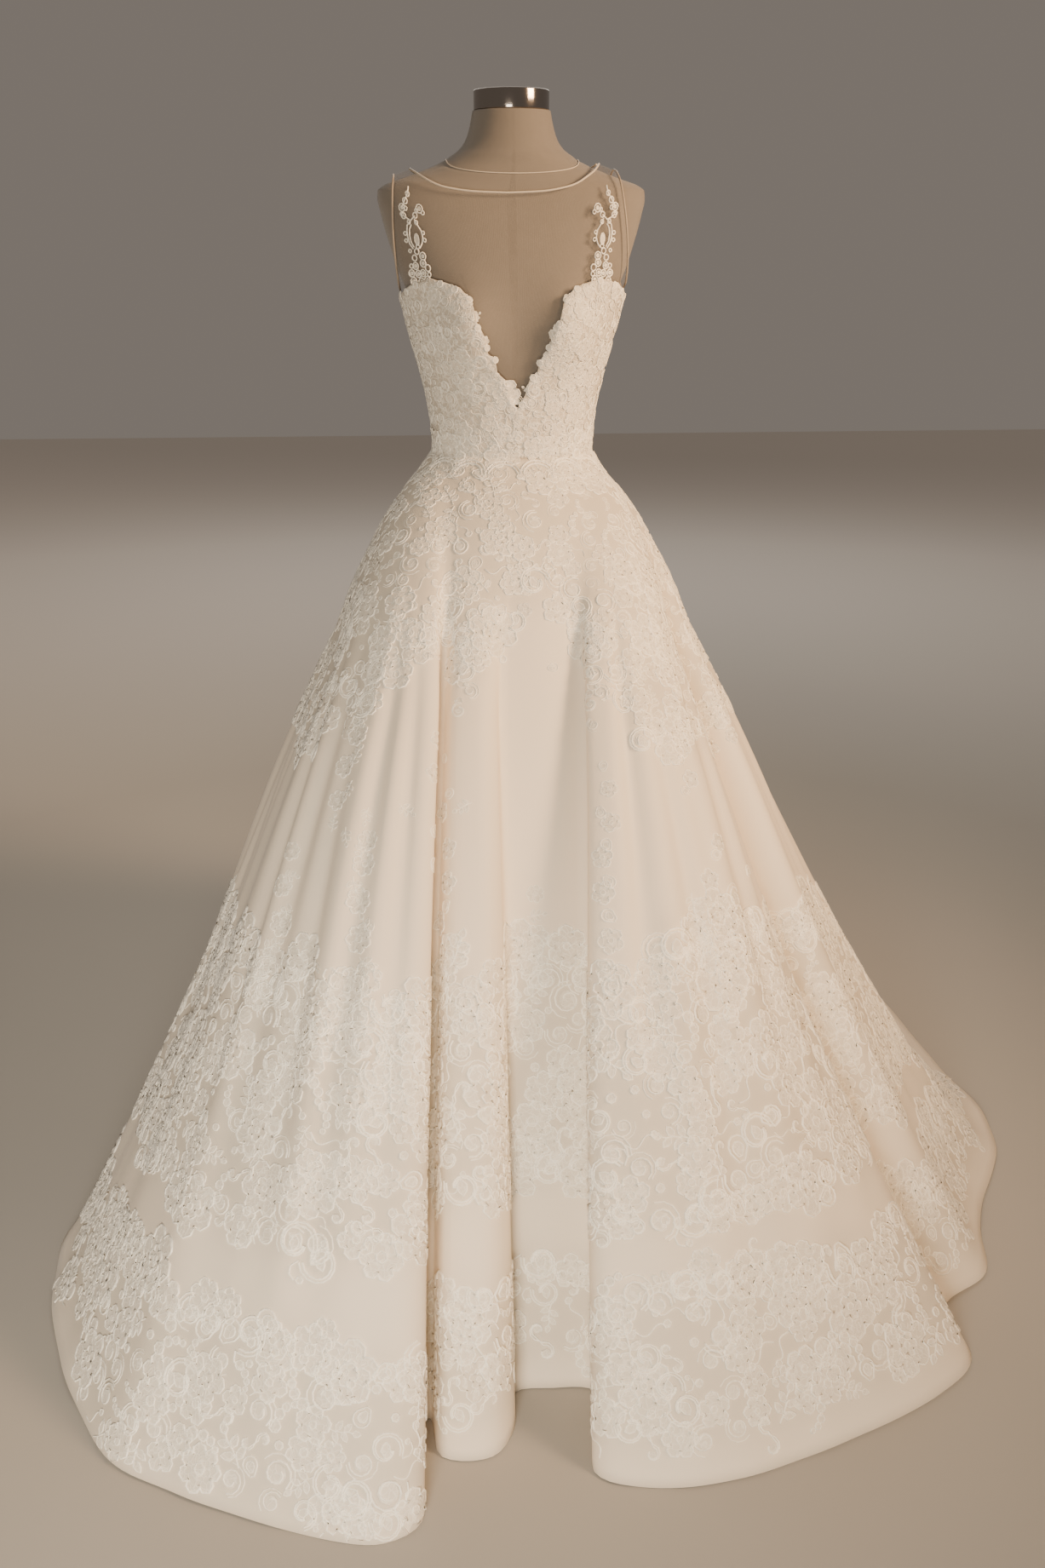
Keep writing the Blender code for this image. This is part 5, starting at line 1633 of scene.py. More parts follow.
def lace_tree():
    """Scatters motifs over a ground and fits them to it."""
    inputs = [("Ground", "Geometry"), ("Placed", "Object"), ("Motifs", "Collection"),
              ("Kinds", "Int"), ("Spacing", "Float"), ("Smallest", "Float"), ("Largest", "Float"),
              ("Rise", "Float"), ("Seed", "Int"), ("Finish", "Material")]
    tree, given, result = new_tree("lay_lace", inputs)
    seed = given["Seed"]
    bare = add_node(tree, "FunctionNodeCompare", {"A": named(tree, "cover", "FLOAT"), "B": 0.001},
                    operation="LESS_THAN")
    lacy = add_node(tree, "GeometryNodeDeleteGeometry",
                    {"Geometry": given["Ground"], "Selection": bare.outputs[0]}, domain="FACE")
    scatter = add_node(tree, "GeometryNodeDistributePointsOnFaces", distribute_method="POISSON")
    tree.links.new(lacy.outputs[0], scatter.inputs["Mesh"])
    tree.links.new(given["Spacing"], scatter.inputs["Distance Min"])
    scatter.inputs["Density Max"].default_value = 30000.0
    tree.links.new(named(tree, "cover", "FLOAT"), scatter.inputs["Density Factor"])
    tree.links.new(seed, scatter.inputs["Seed"])
    points = scatter.outputs["Points"]
    points = keep(tree, points, "kind", "INT", random_number(tree, 0, given["Kinds"], seed, "INT"))
    points = keep(tree, points, "turn", "FLOAT",
                  random_number(tree, 0.0, 2 * math.pi, arithmetic(tree, "ADD", seed, 1)))
    size = random_number(tree, given["Smallest"], given["Largest"], arithmetic(tree, "ADD", seed, 2))
    points = keep(tree, points, "size", "FLOAT", size)
    placed = add_node(tree, "GeometryNodeObjectInfo", {"Object": given["Placed"]})
    extra = add_node(tree, "GeometryNodeMeshToPoints", {"Mesh": placed.outputs["Geometry"]})
    join = tree.nodes.new("GeometryNodeJoinGeometry")
    tree.links.new(extra.outputs["Points"], join.inputs[0])
    tree.links.new(points, join.inputs[0])
    rise = random_number(tree, 0.0, given["Rise"], arithmetic(tree, "ADD", seed, 3))
    points = keep(tree, join.outputs[0], "rise", "FLOAT", rise)
    origin = add_node(tree, "ShaderNodeCombineXYZ").outputs[0]
    gather = add_node(tree, "GeometryNodeSetPosition", {"Geometry": points, "Position": origin})
    motifs = add_node(tree, "GeometryNodeCollectionInfo",
                      {"Collection": given["Motifs"], "Separate Children": True,
                       "Reset Children": True})
    turn = add_node(tree, "ShaderNodeCombineXYZ", {"Z": named(tree, "turn", "FLOAT")})
    lay = add_node(tree, "GeometryNodeInstanceOnPoints",
                   {"Points": gather.outputs[0], "Instance": motifs.outputs[0],
                    "Pick Instance": True, "Instance Index": named(tree, "kind", "INT"),
                    "Scale": named(tree, "size", "FLOAT")})
    tree.links.new(turn.outputs[0], lay.inputs["Rotation"])
    real = add_node(tree, "GeometryNodeRealizeInstances", {"Geometry": lay.outputs[0]}).outputs[0]
    here = tree.nodes.new("GeometryNodeInputPosition").outputs[0]
    place = add_node(tree, "ShaderNodeSeparateXYZ", {"Vector": here}).outputs
    slope = add_node(tree, "ShaderNodeSeparateXYZ",
                     {"Vector": named(tree, "slope", "FLOAT_VECTOR")}).outputs
    down = arithmetic(tree, "DIVIDE", place["Y"], slope["Y"])
    lean = arithmetic(tree, "MULTIPLY", slope["Z"], down)
    across = arithmetic(tree, "DIVIDE", arithmetic(tree, "SUBTRACT", place["X"], lean), slope["X"])
    step = add_node(tree, "ShaderNodeCombineXYZ", {"X": across, "Y": down}).outputs[0]
    flat = vector_math(tree, "ADD", step, named(tree, "unroll", "FLOAT_VECTOR"))
    real = keep(tree, real, "flat", "FLOAT_VECTOR", flat)
    at = named(tree, "flat", "FLOAT_VECTOR")
    spot, valid = sampled(tree, given["Ground"], here, at)
    normal = tree.nodes.new("GeometryNodeInputNormal").outputs[0]
    up, _ = sampled(tree, given["Ground"], normal, at)
    outside = add_node(tree, "FunctionNodeBooleanMath", operation="NOT")
    tree.links.new(valid, outside.inputs[0])
    cut = add_node(tree, "GeometryNodeDeleteGeometry",
                   {"Geometry": real, "Selection": outside.outputs[0]}, domain="POINT")
    height = arithmetic(tree, "ADD", place["Z"], named(tree, "rise", "FLOAT"))
    lifted = vector_math(tree, "ADD", spot, vector_math(tree, "SCALE", up, height))
    seat = add_node(tree, "GeometryNodeSetPosition", {"Geometry": cut.outputs[0], "Position": lifted})
    finish = add_node(tree, "GeometryNodeSetMaterial",
                      {"Geometry": seat.outputs[0], "Material": given["Finish"]})
    tree.links.new(finish.outputs[0], result)
    return tree


LAY_LACE = lace_tree()
print("lace tree:", len(LAY_LACE.nodes), "nodes")

# %% [markdown]
# A ground is a surface that lace is laid on: a grid of points and its unrolled map. Nobody can
# unroll a folded cone without stretching it, so each point also keeps how the map is stretched
# and how far it leans there, and a motif is drawn through that. A place can be named by its
# pixel of the photograph: the ground finds the nearest point that the camera sees there.

# %% Grounds
PICTURE = (1227, 1841)


def seen(points):
    """Where points appear in the picture, in pixels, and how far away they are."""
    turn, tip = math.radians(CAMERA_TURN), math.radians(CAMERA_TIP)
    ahead = np.array([math.sin(turn) * math.cos(tip), math.cos(turn) * math.cos(tip), -math.sin(tip)])
    right = np.array([math.cos(turn), -math.sin(turn), 0.0])
    away = np.asarray(points) - CAMERA_PLACE
    depth = away @ ahead
    scale = LENS / SENSOR * PICTURE[1] / depth
    return (PICTURE[0] / 2 + away @ right * scale,
            PICTURE[1] / 2 - away @ np.cross(right, ahead) * scale, depth)


def slopes(grid, across, down):
    """How the unrolled map is stretched across and down at each point, and how it leans."""
    by_across = np.gradient(grid, axis=1) / np.gradient(across, axis=1)[:, :, None]
    slip = np.gradient(across, axis=0)[:, :, None]
    by_down = (np.gradient(grid, axis=0) - by_across * slip) / np.gradient(down, axis=0)[:, :, None]
    stretch = np.linalg.norm(by_across, axis=2, keepdims=True)
    lean = (by_down * by_across / stretch).sum(axis=2, keepdims=True)
    drop = np.linalg.norm(by_down - by_across / stretch * lean, axis=2, keepdims=True)
    return np.concatenate([stretch, drop, lean], axis=2)


class Ground:
    """A surface for lace, with its unrolled map and what the camera sees of it."""

    def __init__(self, grid, across, down):
        self.grid, self.across, self.down = grid, across, np.broadcast_to(down, across.shape)
        self.slopes = slopes(grid, across, self.down)
        normal = np.cross(np.gradient(grid, axis=1), np.gradient(grid, axis=0))
        toward = (np.array(CAMERA_PLACE) - grid) * normal
        self.shown = toward.sum(axis=2) > 0
        self.px, self.py, self.depth = seen(grid)

    def at(self, px, py):
        """The row and column of what shows at a pixel."""
        off = np.hypot(self.px - px, self.py - py)
        off = np.where(self.shown, off, off + 500.0)
        score = np.where(off < max(12.0, off.min() + 1.0), self.depth + 0.006 * off, 99.0)
        return np.unravel_index(int(np.argmin(score)), score.shape)

    def nearest(self, across, down):
        """The row and column of a place of the unrolled map."""
        row = int(np.argmin(np.abs(self.down[:, 0] - down)))
        return row, int(np.argmin(np.abs(self.across[row] - across)))

    def mesh(self, name, cover):
        """The mesh that the lace tree reads."""
        rows, columns = self.across.shape
        mesh = bpy.data.meshes.new(name)
        outwards = [face[::-1] for face in grid_faces(rows, columns)]
        mesh.from_pydata(self.grid.reshape(-1, 3).tolist(), [], outwards)
        mesh.polygons.foreach_set("use_smooth", [True] * len(mesh.polygons))
        unroll = np.stack([self.across, self.down, np.zeros_like(self.across)], axis=2)
        for title, values in (("unroll", unroll), ("slope", self.slopes)):
            layer = mesh.attributes.new(title, "FLOAT_VECTOR", "POINT")
            layer.data.foreach_set("vector", values.ravel())
        values = np.ascontiguousarray(cover, dtype=float).ravel()
        mesh.attributes.new("cover", "FLOAT", "POINT").data.foreach_set("value", values)
        mesh.update()
        return mesh

    def marks(self, name, rows):
        """Loose points for motifs placed one by one: kind, row, column, turn and size."""
        mesh = bpy.data.meshes.new(name)
        mesh.from_pydata([(0.0, 0.0, 0.0)] * len(rows), [], [])
        cells = [(row[1], row[2]) for row in rows]
        unroll = [(self.across[c], self.down[c], 0.0) for c in cells]
        fields = (("kind", "INT", [KINDS.index(row[0]) for row in rows]),
                  ("turn", "FLOAT", [math.radians(row[3]) for row in rows]),
                  ("size", "FLOAT", [float(row[4]) for row in rows]))
        for title, kind, values in fields:
            mesh.attributes.new(title, kind, "POINT").data.foreach_set("value", values)
        for title, values in (("unroll", unroll), ("slope", [self.slopes[c] for c in cells])):
            layer = mesh.attributes.new(title, "FLOAT_VECTOR", "POINT")
            layer.data.foreach_set("vector", np.array(values, float).ravel())
        return bpy.data.objects.new(name, mesh)


def lay(name, ground, cover, rows, spacing, sizes, rise, seed):
    """Runs the lace tree over a ground and returns the lace as a piece."""
    piece = bpy.data.objects.new(name, ground.mesh(name, cover))
    bpy.context.scene.collection.objects.link(piece)
    layer = piece.modifiers.new("lace", "NODES")
    layer.node_group = LAY_LACE
    sockets = {item.name: item.identifier for item in LAY_LACE.interface.items_tree}
    values = {"Placed": ground.marks(name + "_marks", rows), "Motifs": MOTIFS, "Kinds": SCATTERED,
              "Spacing": spacing, "Smallest": sizes[0], "Largest": sizes[1], "Rise": rise,
              "Seed": seed, "Finish": CORDED_LACE}
    for title, value in values.items():
        layer[sockets[title]] = value
    apply_modifiers(piece)
    for title in ("kind", "turn", "size", "rise", "slope", "unroll", "flat", "cover", "id"):
        if title in piece.data.attributes:
            piece.data.attributes.remove(piece.data.attributes[title])
    print(name, len(piece.data.polygons), "faces")
    return piece


print("picture:", PICTURE)

# %% [markdown]
# The skirt's ground has a few rows above the waist, which lie on the bodice, so that the
# border's arches can climb over the seam. It runs a little past both ends of the map, so that
# a motif at the join is whole. Places along each row are in proportion to the cloth's length.

# %% The skirt's ground
LACE_LIFT = 0.0006
LAP = 70
ABOVE_WAIST = (0.036, 0.024, 0.012)
SKIRT_LENGTH = 1.20
ORDER = np.arange(-LAP, len(PLACES) + LAP)
GROUND_PLACES = PLACES[ORDER % len(PLACES)] + HEM_LENGTH * (ORDER // len(PLACES))
GROUND_LEVELS = np.array([*(-height / SKIRT_LENGTH for height in ABOVE_WAIST), *LEVELS])


def skirt_ground():
    """The skirt's outer side with its map."""
    waist = np.degrees(np.arctan2(SKIRT[0, :, 0], -SKIRT[0, :, 1]))
    out = BODICE_CLEAR + BODICE_WALL + LACE_LIFT
    above = [off_torso(waist, WAIST_Z + height, out) for height in ABOVE_WAIST]
    grid = np.vstack([np.array(above), SKIRT + SKIRT_NORMAL * LACE_LIFT])
    steps = np.linalg.norm(np.roll(grid, -1, axis=1) - grid, axis=2)
    along = np.cumsum(steps, axis=1) - steps
    along = along / steps.sum(axis=1, keepdims=True) * HEM_LENGTH
    across = along[:, ORDER % len(PLACES)] + HEM_LENGTH * (ORDER // len(PLACES))[None, :]
    return Ground(grid[:, ORDER % len(PLACES)], across, GROUND_LEVELS[:, None])


SKIRT_GROUND = skirt_ground()
print("skirt ground:", SKIRT_GROUND.across.shape)

# %% [markdown]
# Scattering alone would leave a ragged edge, so each tier's edge is a row of motifs laid side
# by side. The trails that hang from the hips and climb from the middle band were measured in
# the photograph: each is a line of pixels, with its motifs' size at its start and its end.

# %% Motifs placed on the skirt
SPANS = [("front", "right_side", "left_side_recess"), ("back_left", "left_side_recess", "train_back"),
         ("back_right", "train_back", "right_side")]
EDGE_STEP = 0.050
EDGE_KINDS = ["flower", "medallion", "rose", "curl", "open_flower", "bud", "medallion", "full_flower"]
TRAIL_KINDS = ["open_flower", "medallion", "spray", "flower", "bud", "curl", "full_flower", "tendril"]
TRAIL_STEP = 0.024
# the tier, the sizes at the start and the end, and the pixels of the line
TRAIL_LINES = [
    ("hip", 0.85, 0.45, [(612, 640), (612, 680), (617, 712)]),
    ("hip", 1.00, 0.50, [(530, 690), (528, 730), (548, 775), (545, 832)]),
    ("hip", 0.95, 0.50, [(672, 690), (684, 740), (700, 790), (694, 845)]),
    ("hip", 1.00, 0.55, [(470, 700), (445, 770), (420, 860), (392, 960)]),
    ("hip", 1.00, 0.55, [(765, 700), (782, 780), (800, 870), (808, 930)]),
    ("hip", 0.90, 0.55, [(420, 700), (385, 790), (352, 870)]),
    ("hip", 0.90, 0.55, [(800, 690), (832, 780), (858, 860)]),
    ("band", 0.55, 0.80, [(516, 872), (522, 940), (520, 1010), (524, 1090), (522, 1150)]),
    ("band", 0.50, 1.00, [(630, 1048), (628, 1100), (632, 1160)]),
    ("band", 0.50, 0.80, [(710, 905), (712, 980), (712, 1060), (716, 1150)]),
    ("band", 0.60, 1.00, [(845, 985), (838, 1050), (850, 1120), (862, 1190)]),
    ("band", 0.55, 0.95, [(432, 960), (420, 1040), (430, 1120), (420, 1190)]),
    ("band", 0.55, 0.90, [(340, 1000), (330, 1090), (300, 1170)]),
]
# kind, pixel, turn and size
SPRIGS = [
    ("hip", "round", 590, 770, 0, 1.0), ("hip", "bud", 505, 770, 70, 0.5),
    ("hip", "bud", 652, 778, -80, 0.5), ("band", "spray", 545, 945, -60, 0.6),
    ("band", "spray", 477, 945, 60, 0.6), ("band", "spray", 405, 985, 20, 0.6),
    ("band", "bud", 880, 1020, -40, 0.6), ("band", "round", 905, 1100, 0, 1.1),
]


def skirt_cell(place, level):
    """The row and column of the skirt's ground at a place round the hem and a level."""
    row = int(np.argmin(np.abs(GROUND_LEVELS - level)))
    return row, int(np.argmin(np.abs(GROUND_PLACES - place)))


def edge_row(tier):
    """Motifs side by side along a tier's scalloped edges."""
    rows = []
    for number in {"hip": (0,), "band": (1, 2), "hem": (3,)}[tier]:
        inward = (-0.010, 0.012, -0.012, 0.014)[number]
        levels = zone_levels(PLACES)[number] + inward
        cells = [skirt_cell(place, level) for place, level in zip(PLACES, levels)]
        points = np.array([SKIRT_GROUND.grid[cell] for cell in cells])
        gaps = np.linalg.norm(np.diff(points, axis=0, append=points[:1]), axis=1)
        count = round(gaps.sum() / EDGE_STEP)
        lengths = np.cumsum(gaps)
        for k in range(count):
            cell = cells[int(np.searchsorted(lengths, k * gaps.sum() / count))]
            kind = EDGE_KINDS[(k * 5 + number) % len(EDGE_KINDS)]
            size = (0.78 if tier == "hip" else 1.0) + 0.22 * (k * 7 % 5) / 4
            rows.append((kind, *cell, 137.5 * k % 360, size))
    return rows


def trail_rows(tier):
    """Motifs along the measured lines, and the small sprigs beside them."""
    rows = []
    for own, start, end, line in TRAIL_LINES:
        if own != tier:
            continue
        points = np.array([SKIRT_GROUND.grid[SKIRT_GROUND.at(*pixel)] for pixel in line])
        lengths = np.concatenate([[0], np.cumsum(np.linalg.norm(np.diff(points, axis=0), axis=1))])
        pixels = np.array(line, float)
        count = max(2, round(lengths[-1] / TRAIL_STEP))
        for k in range(count + 1):
            at = [np.interp(lengths[-1] * k / count, lengths, pixels[:, i]) for i in (0, 1)]
            at[0] += 5.0 * math.sin(2.4 * k)
            kind = TRAIL_KINDS[(k * 3 + len(rows)) % len(TRAIL_KINDS)]
            size = start + (end - start) * k / count
            rows.append((kind, *SKIRT_GROUND.at(*at), 97.0 * k % 360, size))
    for own, kind, px, py, turn, size in SPRIGS:
        if own == tier:
            rows.append((kind, *SKIRT_GROUND.at(px, py), turn, size))
    return rows


print("trails:", len(TRAIL_LINES), "sprigs:", len(SPRIGS))

# %% [markdown]
# The bodice's lace ends in a border that hangs over the waist seam: low arches of two cords,
# side by side, with a row of rounds below them.

# %% The border at the waist
BORDER_LEVEL = 0.020
ARCH_STEP = 0.046


def border_rows():
    """Arches round the waist, and rounds where they meet."""
    row = int(np.argmin(np.abs(GROUND_LEVELS - BORDER_LEVEL)))
    below = int(np.argmin(np.abs(GROUND_LEVELS - BORDER_LEVEL - 0.018)))
    steps = np.linalg.norm(np.diff(SKIRT_GROUND.grid[row, LAP:-LAP], axis=0), axis=1)
    count = round(steps.sum() / ARCH_STEP)
    lengths = np.cumsum(steps)
    rows = []
    for k in range(count):
        middle, foot = (LAP + int(np.searchsorted(lengths, share * steps.sum() / count))
                        for share in (k + 0.5, k + 1.0))
        rows.append(("arch", row, middle, 180.0, 0.92))
        rows.append(("open_flower", row, foot, 71.0 * k % 360, 0.5))
        rows.append(("curl", below, middle, 180.0 * (k % 2) + 20.0, 0.55))
    seam = int(np.argmin(np.abs(GROUND_LEVELS)))
    for k in range(2 * count):
        place = LAP + int(np.searchsorted(lengths, (k + 0.5) * steps.sum() / (2 * count)))
        kind = ("open_flower", "curl", "flower", "round", "spray")[k % 5]
        rows.append((kind, seam, place, 137.0 * k % 360, 1.5 if kind == "round" else 0.5))
    return rows


def in_span(places, first, last):
    """True where places lie between two named lines, on the way round."""
    start, end = PLACES[FIRSTS[first]], PLACES[FIRSTS[last]]
    return (places - start) % HEM_LENGTH < (end - start) % HEM_LENGTH


def lay_skirt_lace():
    """Nine pieces of lace on the skirt: three tiers, each in three pieces."""
    pieces = []
    for number, tier in enumerate(("hip", "band", "hem")):
        rows = edge_row(tier) + trail_rows(tier) + (border_rows() if tier == "hip" else [])
        spacing, sizes = (0.024, (0.55, 0.90)) if tier == "hip" else (0.029, (0.75, 1.20))
        for label, first, last in SPANS:
            own = in_span(GROUND_PLACES, first, last)
            own &= (GROUND_PLACES >= 0) & (GROUND_PLACES < HEM_LENGTH)
            cover = np.full(SKIRT_GROUND.across.shape, float(tier == "hip"))
            cover[len(ABOVE_WAIST):] = COVER[number][:, ORDER % len(PLACES)]
            cover *= own[None, :]
            mine = [row for row in rows if in_span(GROUND_PLACES[row[2]], first, last)]
            name = f"{tier}_lace_{label}"
            piece = lay("corded_" + name, SKIRT_GROUND, cover, mine, spacing, sizes, 0.0009,
                        10 * number + len(pieces))
            pieces.append(dress(piece, "lace", name))
    return pieces


SKIRT_LACE = lay_skirt_lace()
print("skirt lace:", sum(len(p.data.polygons) for p in SKIRT_LACE), "faces")

# %% [markdown]
# The bodice is covered with smaller motifs, close together. Its ground follows the solid up to
# the edge and then steps down to the net, so a flower that stands over the edge bends onto the
# net, as the real one does. The edge itself is a row of rounds and small flowers.

# %% The bodice's ground
BODICE_DEGREES = np.linspace(-205, 205, 275)
BODICE_HEIGHTS = np.arange(BODICE_Z, 1.372, 0.004)
NET_LIFT = NET_CLEAR + NET + 0.0006


def edge_heights(degrees):
    """The bodice's top edge at angles from the front."""
    front, rear = bodice_edge(False), bodice_edge(True)
    around = np.abs((np.asarray(degrees) + 180.0) % 360.0 - 180.0)
    angles = np.concatenate([front[:, 0], rear[1:, 0]])
    heights = np.concatenate([front[:, 1], rear[1:, 1]])
    return np.interp(around, angles, heights)


def bodice_ground():
    """The bodice's outer side and the net above it."""
    degrees, z = np.meshgrid(BODICE_DEGREES, BODICE_HEIGHTS)
    edge = edge_heights(degrees)
    out = BODICE_CLEAR + BODICE_WALL + 0.0004 + lace_rise((z - BODICE_Z) / (edge - BODICE_Z))
    out += (NET_LIFT - out) * smooth((z - edge + 0.001) / 0.005)
    return Ground(off_torso(degrees, z, out), degrees, z)


BODICE_GROUND_MAP = bodice_ground()
BODICE_EDGE = edge_heights(BODICE_DEGREES)
print("bodice ground:", BODICE_GROUND_MAP.across.shape)

# %% The bodice's lace
QUARTERS = [("front_left", -90.0, 0.0), ("front_right", 0.0, 90.0), ("back_left", -180.0, -90.0),
            ("back_right", 90.0, 180.0)]
RIM_STEP = 0.0125
RIM_KINDS = ["round", "open_flower", "round", "curl", "spray", "round", "flower"]
RIM_SIZES = {"round": 0.84, "open_flower": 0.36, "curl": 0.36, "flower": 0.34, "spray": 0.36}


def rim_rows():
    """Rounds and small flowers along the top edge, all the way round."""
    degrees = np.linspace(-180, 180, 1441)[:-1]
    heights = edge_heights(degrees) - 0.003
    points = off_torso(degrees, heights, BODICE_CLEAR)
    lengths = np.cumsum(np.linalg.norm(np.diff(points, axis=0, append=points[:1]), axis=1))
    count = round(lengths[-1] / RIM_STEP)
    rows = []
    for k in range(count):
        n = int(np.searchsorted(lengths, (k + 0.5) * lengths[-1] / count))
        kind = RIM_KINDS[k % len(RIM_KINDS)]
        drop = 0.0 if kind == "round" else 0.007
        cell = BODICE_GROUND_MAP.nearest(degrees[n], heights[n] - drop)
        rows.append((kind, *cell, 111.0 * k % 360, RIM_SIZES[kind]))
    return rows


# motifs laid over the seam of the centre front: kind, height, turn
CENTRE_MOTIFS = [("curl", 1.176, 80.0), ("open_flower", 1.160, 40.0), ("spray", 1.143, 170.0),
                 ("flower", 1.126, 60.0), ("curl", 1.108, 250.0)]
BUTTON_STRIP = 174.0


def lay_bodice_lace():
    """Four pieces of lace on the bodice."""
    pieces, rows = [], rim_rows()
    low = BODICE_HEIGHTS[:, None] < BODICE_EDGE[None, :] - 0.008
    for number, (label, start, end) in enumerate(QUARTERS):
        own = (BODICE_DEGREES >= start) & (BODICE_DEGREES < end) & (np.abs(BODICE_DEGREES) < BUTTON_STRIP)
        mine = [row for row in rows if start <= BODICE_DEGREES[row[2]] < end]
        if label == "front_left":
            mine += [(kind, *BODICE_GROUND_MAP.nearest(0.3, z), turn, 0.42)
                     for kind, z, turn in CENTRE_MOTIFS]
        piece = lay("corded_bodice_lace_" + label, BODICE_GROUND_MAP, low & own[None, :], mine,
                    0.0150, (0.34, 0.60), 0.0005, 100 + number)
        pieces.append(dress(piece, "lace"))
    return pieces


BODICE_PIECES = lay_bodice_lace()
print("bodice lace:", sum(len(p.data.polygons) for p in BODICE_PIECES), "faces")

# %% [markdown]
# Two narrow climbers of lace run up the sheer yoke to the shoulders: small rounds at the foot,
# an open loop half way and two branches at the top. They are one motif each, drawn from
# listed points, because the photograph shows their shape plainly.

# %% Lace on the straps
STRAP_FOOT = (0.1180, 1.3330)
STRAP_SHIFT = -0.0055


def strap_ground(side):
    """The net of one strap, as a ground."""
    across = np.linspace(0.080, 0.150, 36) * side + GARMENT_SHIFT
    across = np.sort(across)
    heights = np.arange(1.318, 1.4530, 0.0030)
    x, z = np.meshgrid(across, heights)
    degrees = np.array([[angle_at(*pair) for pair in zip(*row)] for row in zip(x, z)])
    return Ground(off_torso(degrees, z, NET_LIFT), x, z)


def lay_strap_lace(label, side):
    """One climber of lace."""
    ground = strap_ground(side)
    foot = ground.nearest(side * STRAP_FOOT[0] + STRAP_SHIFT, STRAP_FOOT[1])
    rows = [(label + "_climber", *foot, 0.0, 1.0)]
    piece = lay("corded_strap_lace_" + label, ground, np.zeros(ground.across.shape), rows,
                0.02, (0.4, 0.5), 0.0004, 200)
    return dress(piece, "lace", "strap_lace_" + label)


STRAP_PIECES = [lay_strap_lace(label, side) for label, side in (("left", -1), ("right", 1))]

# %% [markdown]
# The closure at the centre back was guessed, as the photograph shows only the front: a row of
# small covered buttons. One button is drawn, and the tree sets it on twelve points.

# %% Buttons
BUTTON_RADIUS = 0.0050
BUTTON_HALF = 0.0026
BUTTON_STEP = 0.0250
BUTTON_ROWS = [(WAIST_Z + 0.016, 4, BODICE_CLEAR + BODICE_WALL), (1.2300, 8, NET_CLEAR + NET)]


def button_mesh(sides=24):
    """One covered button: a low dome with a rolled rim, its middle at the origin."""
    profile = [(0.62, -1.00), (0.90, -0.80), (1.00, -0.25), (0.96, 0.25), (0.78, 0.66), (0.45, 0.92)]
    a = np.arange(sides) * 2 * math.pi / sides
    rings = [np.stack([r * BUTTON_RADIUS * np.cos(a), r * BUTTON_RADIUS * np.sin(a),
                       np.full(sides, h * BUTTON_HALF)], axis=1) for r, h in profile]
    points = [*np.concatenate(rings), (0, 0, -BUTTON_HALF), (0, 0, BUTTON_HALF)]
    faces = grid_faces(len(profile), sides, closed=True)
    for row, middle in ((0, len(points) - 2), (len(profile) - 1, len(points) - 1)):
        faces += [(middle, row * sides + c, row * sides + (c + 1) % sides) for c in range(sides)]
    piece = mesh_piece("one_button", points, faces, BINDING, np.array(points)[:, :2])
    face_out(piece)
    return piece


def button_tree():
    """Sets one object on points, facing each point's own way."""
    tree, given, result = new_tree("set_buttons", [("Points", "Geometry"), ("Button", "Object"),
                                                   ("Finish", "Material")])
    spots = add_node(tree, "GeometryNodeMeshToPoints", {"Mesh": given["Points"]}).outputs["Points"]
    shape = add_node(tree, "GeometryNodeObjectInfo", {"Object": given["Button"], "As Instance": True})
    face = add_node(tree, "FunctionNodeAlignRotationToVector",
                    {"Vector": named(tree, "facing", "FLOAT_VECTOR")}, axis="Z")
    lay_down = add_node(tree, "GeometryNodeInstanceOnPoints",
                        {"Points": spots, "Instance": shape.outputs["Geometry"],
                         "Rotation": face.outputs[0]})
    real = add_node(tree, "GeometryNodeRealizeInstances", {"Geometry": lay_down.outputs[0]})
    finish = add_node(tree, "GeometryNodeSetMaterial",
                      {"Geometry": real.outputs[0], "Material": given["Finish"]})
    tree.links.new(finish.outputs[0], result)
    return tree


def build_buttons():
    """Twelve buttons as one piece."""
    spots, facing = [], []
    for first, count, out in BUTTON_ROWS:
        for k in range(count):
            z = first + BUTTON_STEP * k
            rim = lace_rise((z + BUTTON_RADIUS - BODICE_Z) / (BACK_EDGE[-1][1] - BODICE_Z))
            lift = out + (float(rim) if count == 4 else 0.0) + BUTTON_HALF + 0.0002
            foot, far = torso_points(180.0, z), off_torso(180.0, z, 0.01)
            normal = (far - foot) / np.linalg.norm(far - foot)
            spots.append(tuple(foot + normal * lift))
            facing.append(normal)
    mesh = bpy.data.meshes.new("covered_buttons")
    mesh.from_pydata(spots, [], [])
    mesh.attributes.new("facing", "FLOAT_VECTOR", "POINT").data.foreach_set(
        "vector", np.array(facing).ravel())
    piece = bpy.data.objects.new("covered_buttons", mesh)
    bpy.context.scene.collection.objects.link(piece)
    one = button_mesh()
    layer = piece.modifiers.new("buttons", "NODES")
    layer.node_group = button_tree()
    sockets = {item.name: item.identifier for item in layer.node_group.interface.items_tree}
    layer[sockets["Button"]], layer[sockets["Finish"]] = one, BINDING
    apply_modifiers(piece)
    bpy.data.objects.remove(one)
    return dress(piece, "satin", *[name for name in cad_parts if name.startswith("button_")])


buttons = build_buttons()
print("buttons:", len(buttons.data.polygons), "faces")


# %% [markdown]
# The room is a pale floor and soft light: a small warm light from the right for the bodice, a
# larger one from the front left for the skirt, and a pale surround. The lights are small
# enough for the lace's cords to cast a fine shadow, and soft enough for the folds.

# %% Floor and light


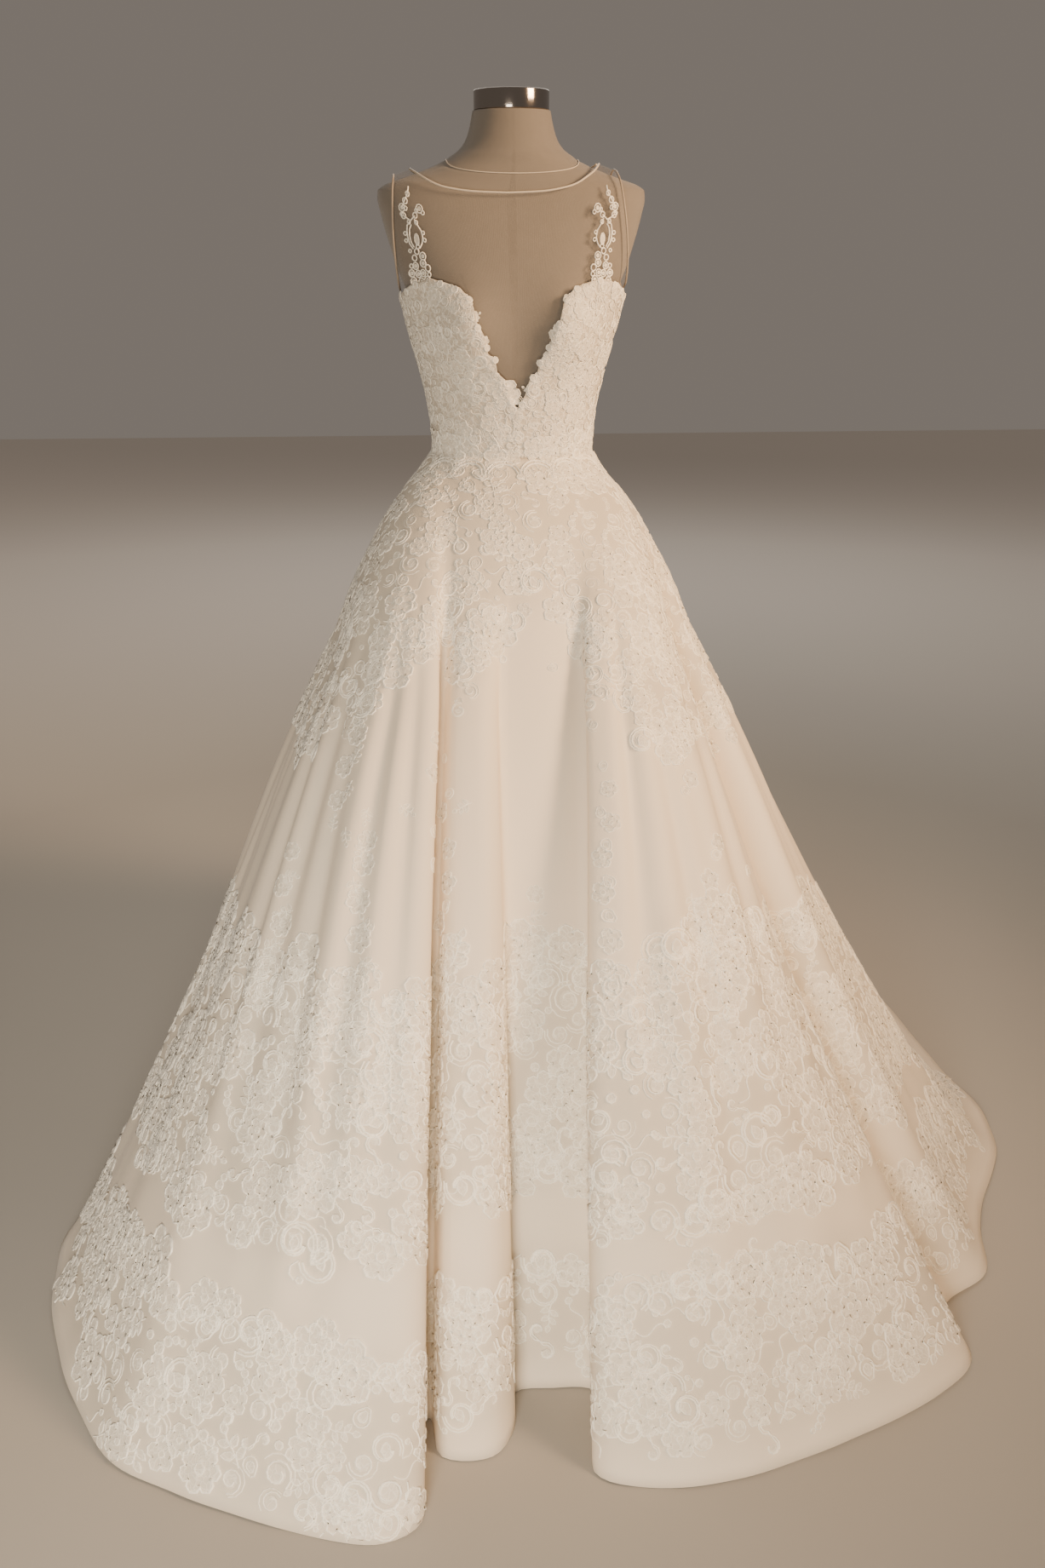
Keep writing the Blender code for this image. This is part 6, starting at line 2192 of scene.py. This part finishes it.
def build_floor():
    """A wide matt floor, with painted light: paler far out, where the lamps reach less."""
    material, tree, shader = new_finish("pale_floor", (0.58, 0.52, 0.45), 0.9)
    place = coordinates(tree, None, (1.0, 1.0, 0.0))
    near = blend_colours(tree, noise(tree, place, 1.2), (0.415, 0.385, 0.34), (0.455, 0.42, 0.375))
    # painted light: from 1.8 to 5 m out the floor turns paler, standing in for light where the lamps reach less
    away = add_node(tree, "ShaderNodeVectorMath", {0: place}, operation="LENGTH").outputs["Value"]
    far = spread(tree, away, 0.0, 1.0)
    far.node.inputs["From Min"].default_value = 1.8
    far.node.inputs["From Max"].default_value = 5.0
    connect(tree, blend_colours(tree, far, near, (0.86, 0.80, 0.74)), shader, "Base Color")
    half = 9.0
    corners = [(-half, -half, -0.0006), (half, -half, -0.0006), (half, half, -0.0006),
               (-half, half, -0.0006)]
    floor = mesh_piece("floor", corners, [(0, 1, 2, 3)], material, smooth_shade=False)


def add_light(name, place, target, size, power, colour, beam=180.0):
    """A square soft light that points at a target, with its beam's width in degrees."""
    data = bpy.data.lights.new(name, "AREA")
    data.spread = math.radians(beam)
    data.shape = "SQUARE"
    data.size = size
    data.energy = power
    data.color = colour
    light = bpy.data.objects.new(name, data)
    bpy.context.scene.collection.objects.link(light)
    light.location = place
    light.rotation_euler = (Vector(target) - Vector(place)).to_track_quat("-Z", "Y").to_euler()


build_floor()
add_light("warm_key", (2.3, -1.5, 2.2), (0.0, 0.0, 1.10), 0.9, 27.0, (1.0, 0.66, 0.38), 68.0)
add_light("low_key", (-0.60, -3.1, 0.90), (-0.42, -0.5, 0.22), 0.9, 20.0, (1.0, 0.89, 0.74), 76.0)
add_light("back_soft", (0.4, 3.4, 3.2), (0.0, 1.3, 0.2), 3.0, 60.0, (1.0, 0.93, 0.84))
world = bpy.data.worlds.new("room")
world.use_nodes = True
world.node_tree.nodes["Background"].inputs["Color"].default_value = (0.60, 0.52, 0.45, 1.0)
world.node_tree.nodes["Background"].inputs["Strength"].default_value = 0.33
bpy.context.scene.world = world
print("floor and lights ready")

# %% [markdown]
# Last, each piece's modifiers are applied so that it is a plain mesh, and the skirt takes the
# place of its solids. The flat size of each piece of cloth before it was sewn was worked out
# with it, and the skirt's cut is all round, since it shows all round.

apply_modifiers(skirt)
dress(skirt, "satin", *[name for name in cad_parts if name.startswith("skirt_")])
for (label, (piece, area)), lace in zip(BODICE.items(), BODICE_PIECES):
    apply_modifiers(piece)
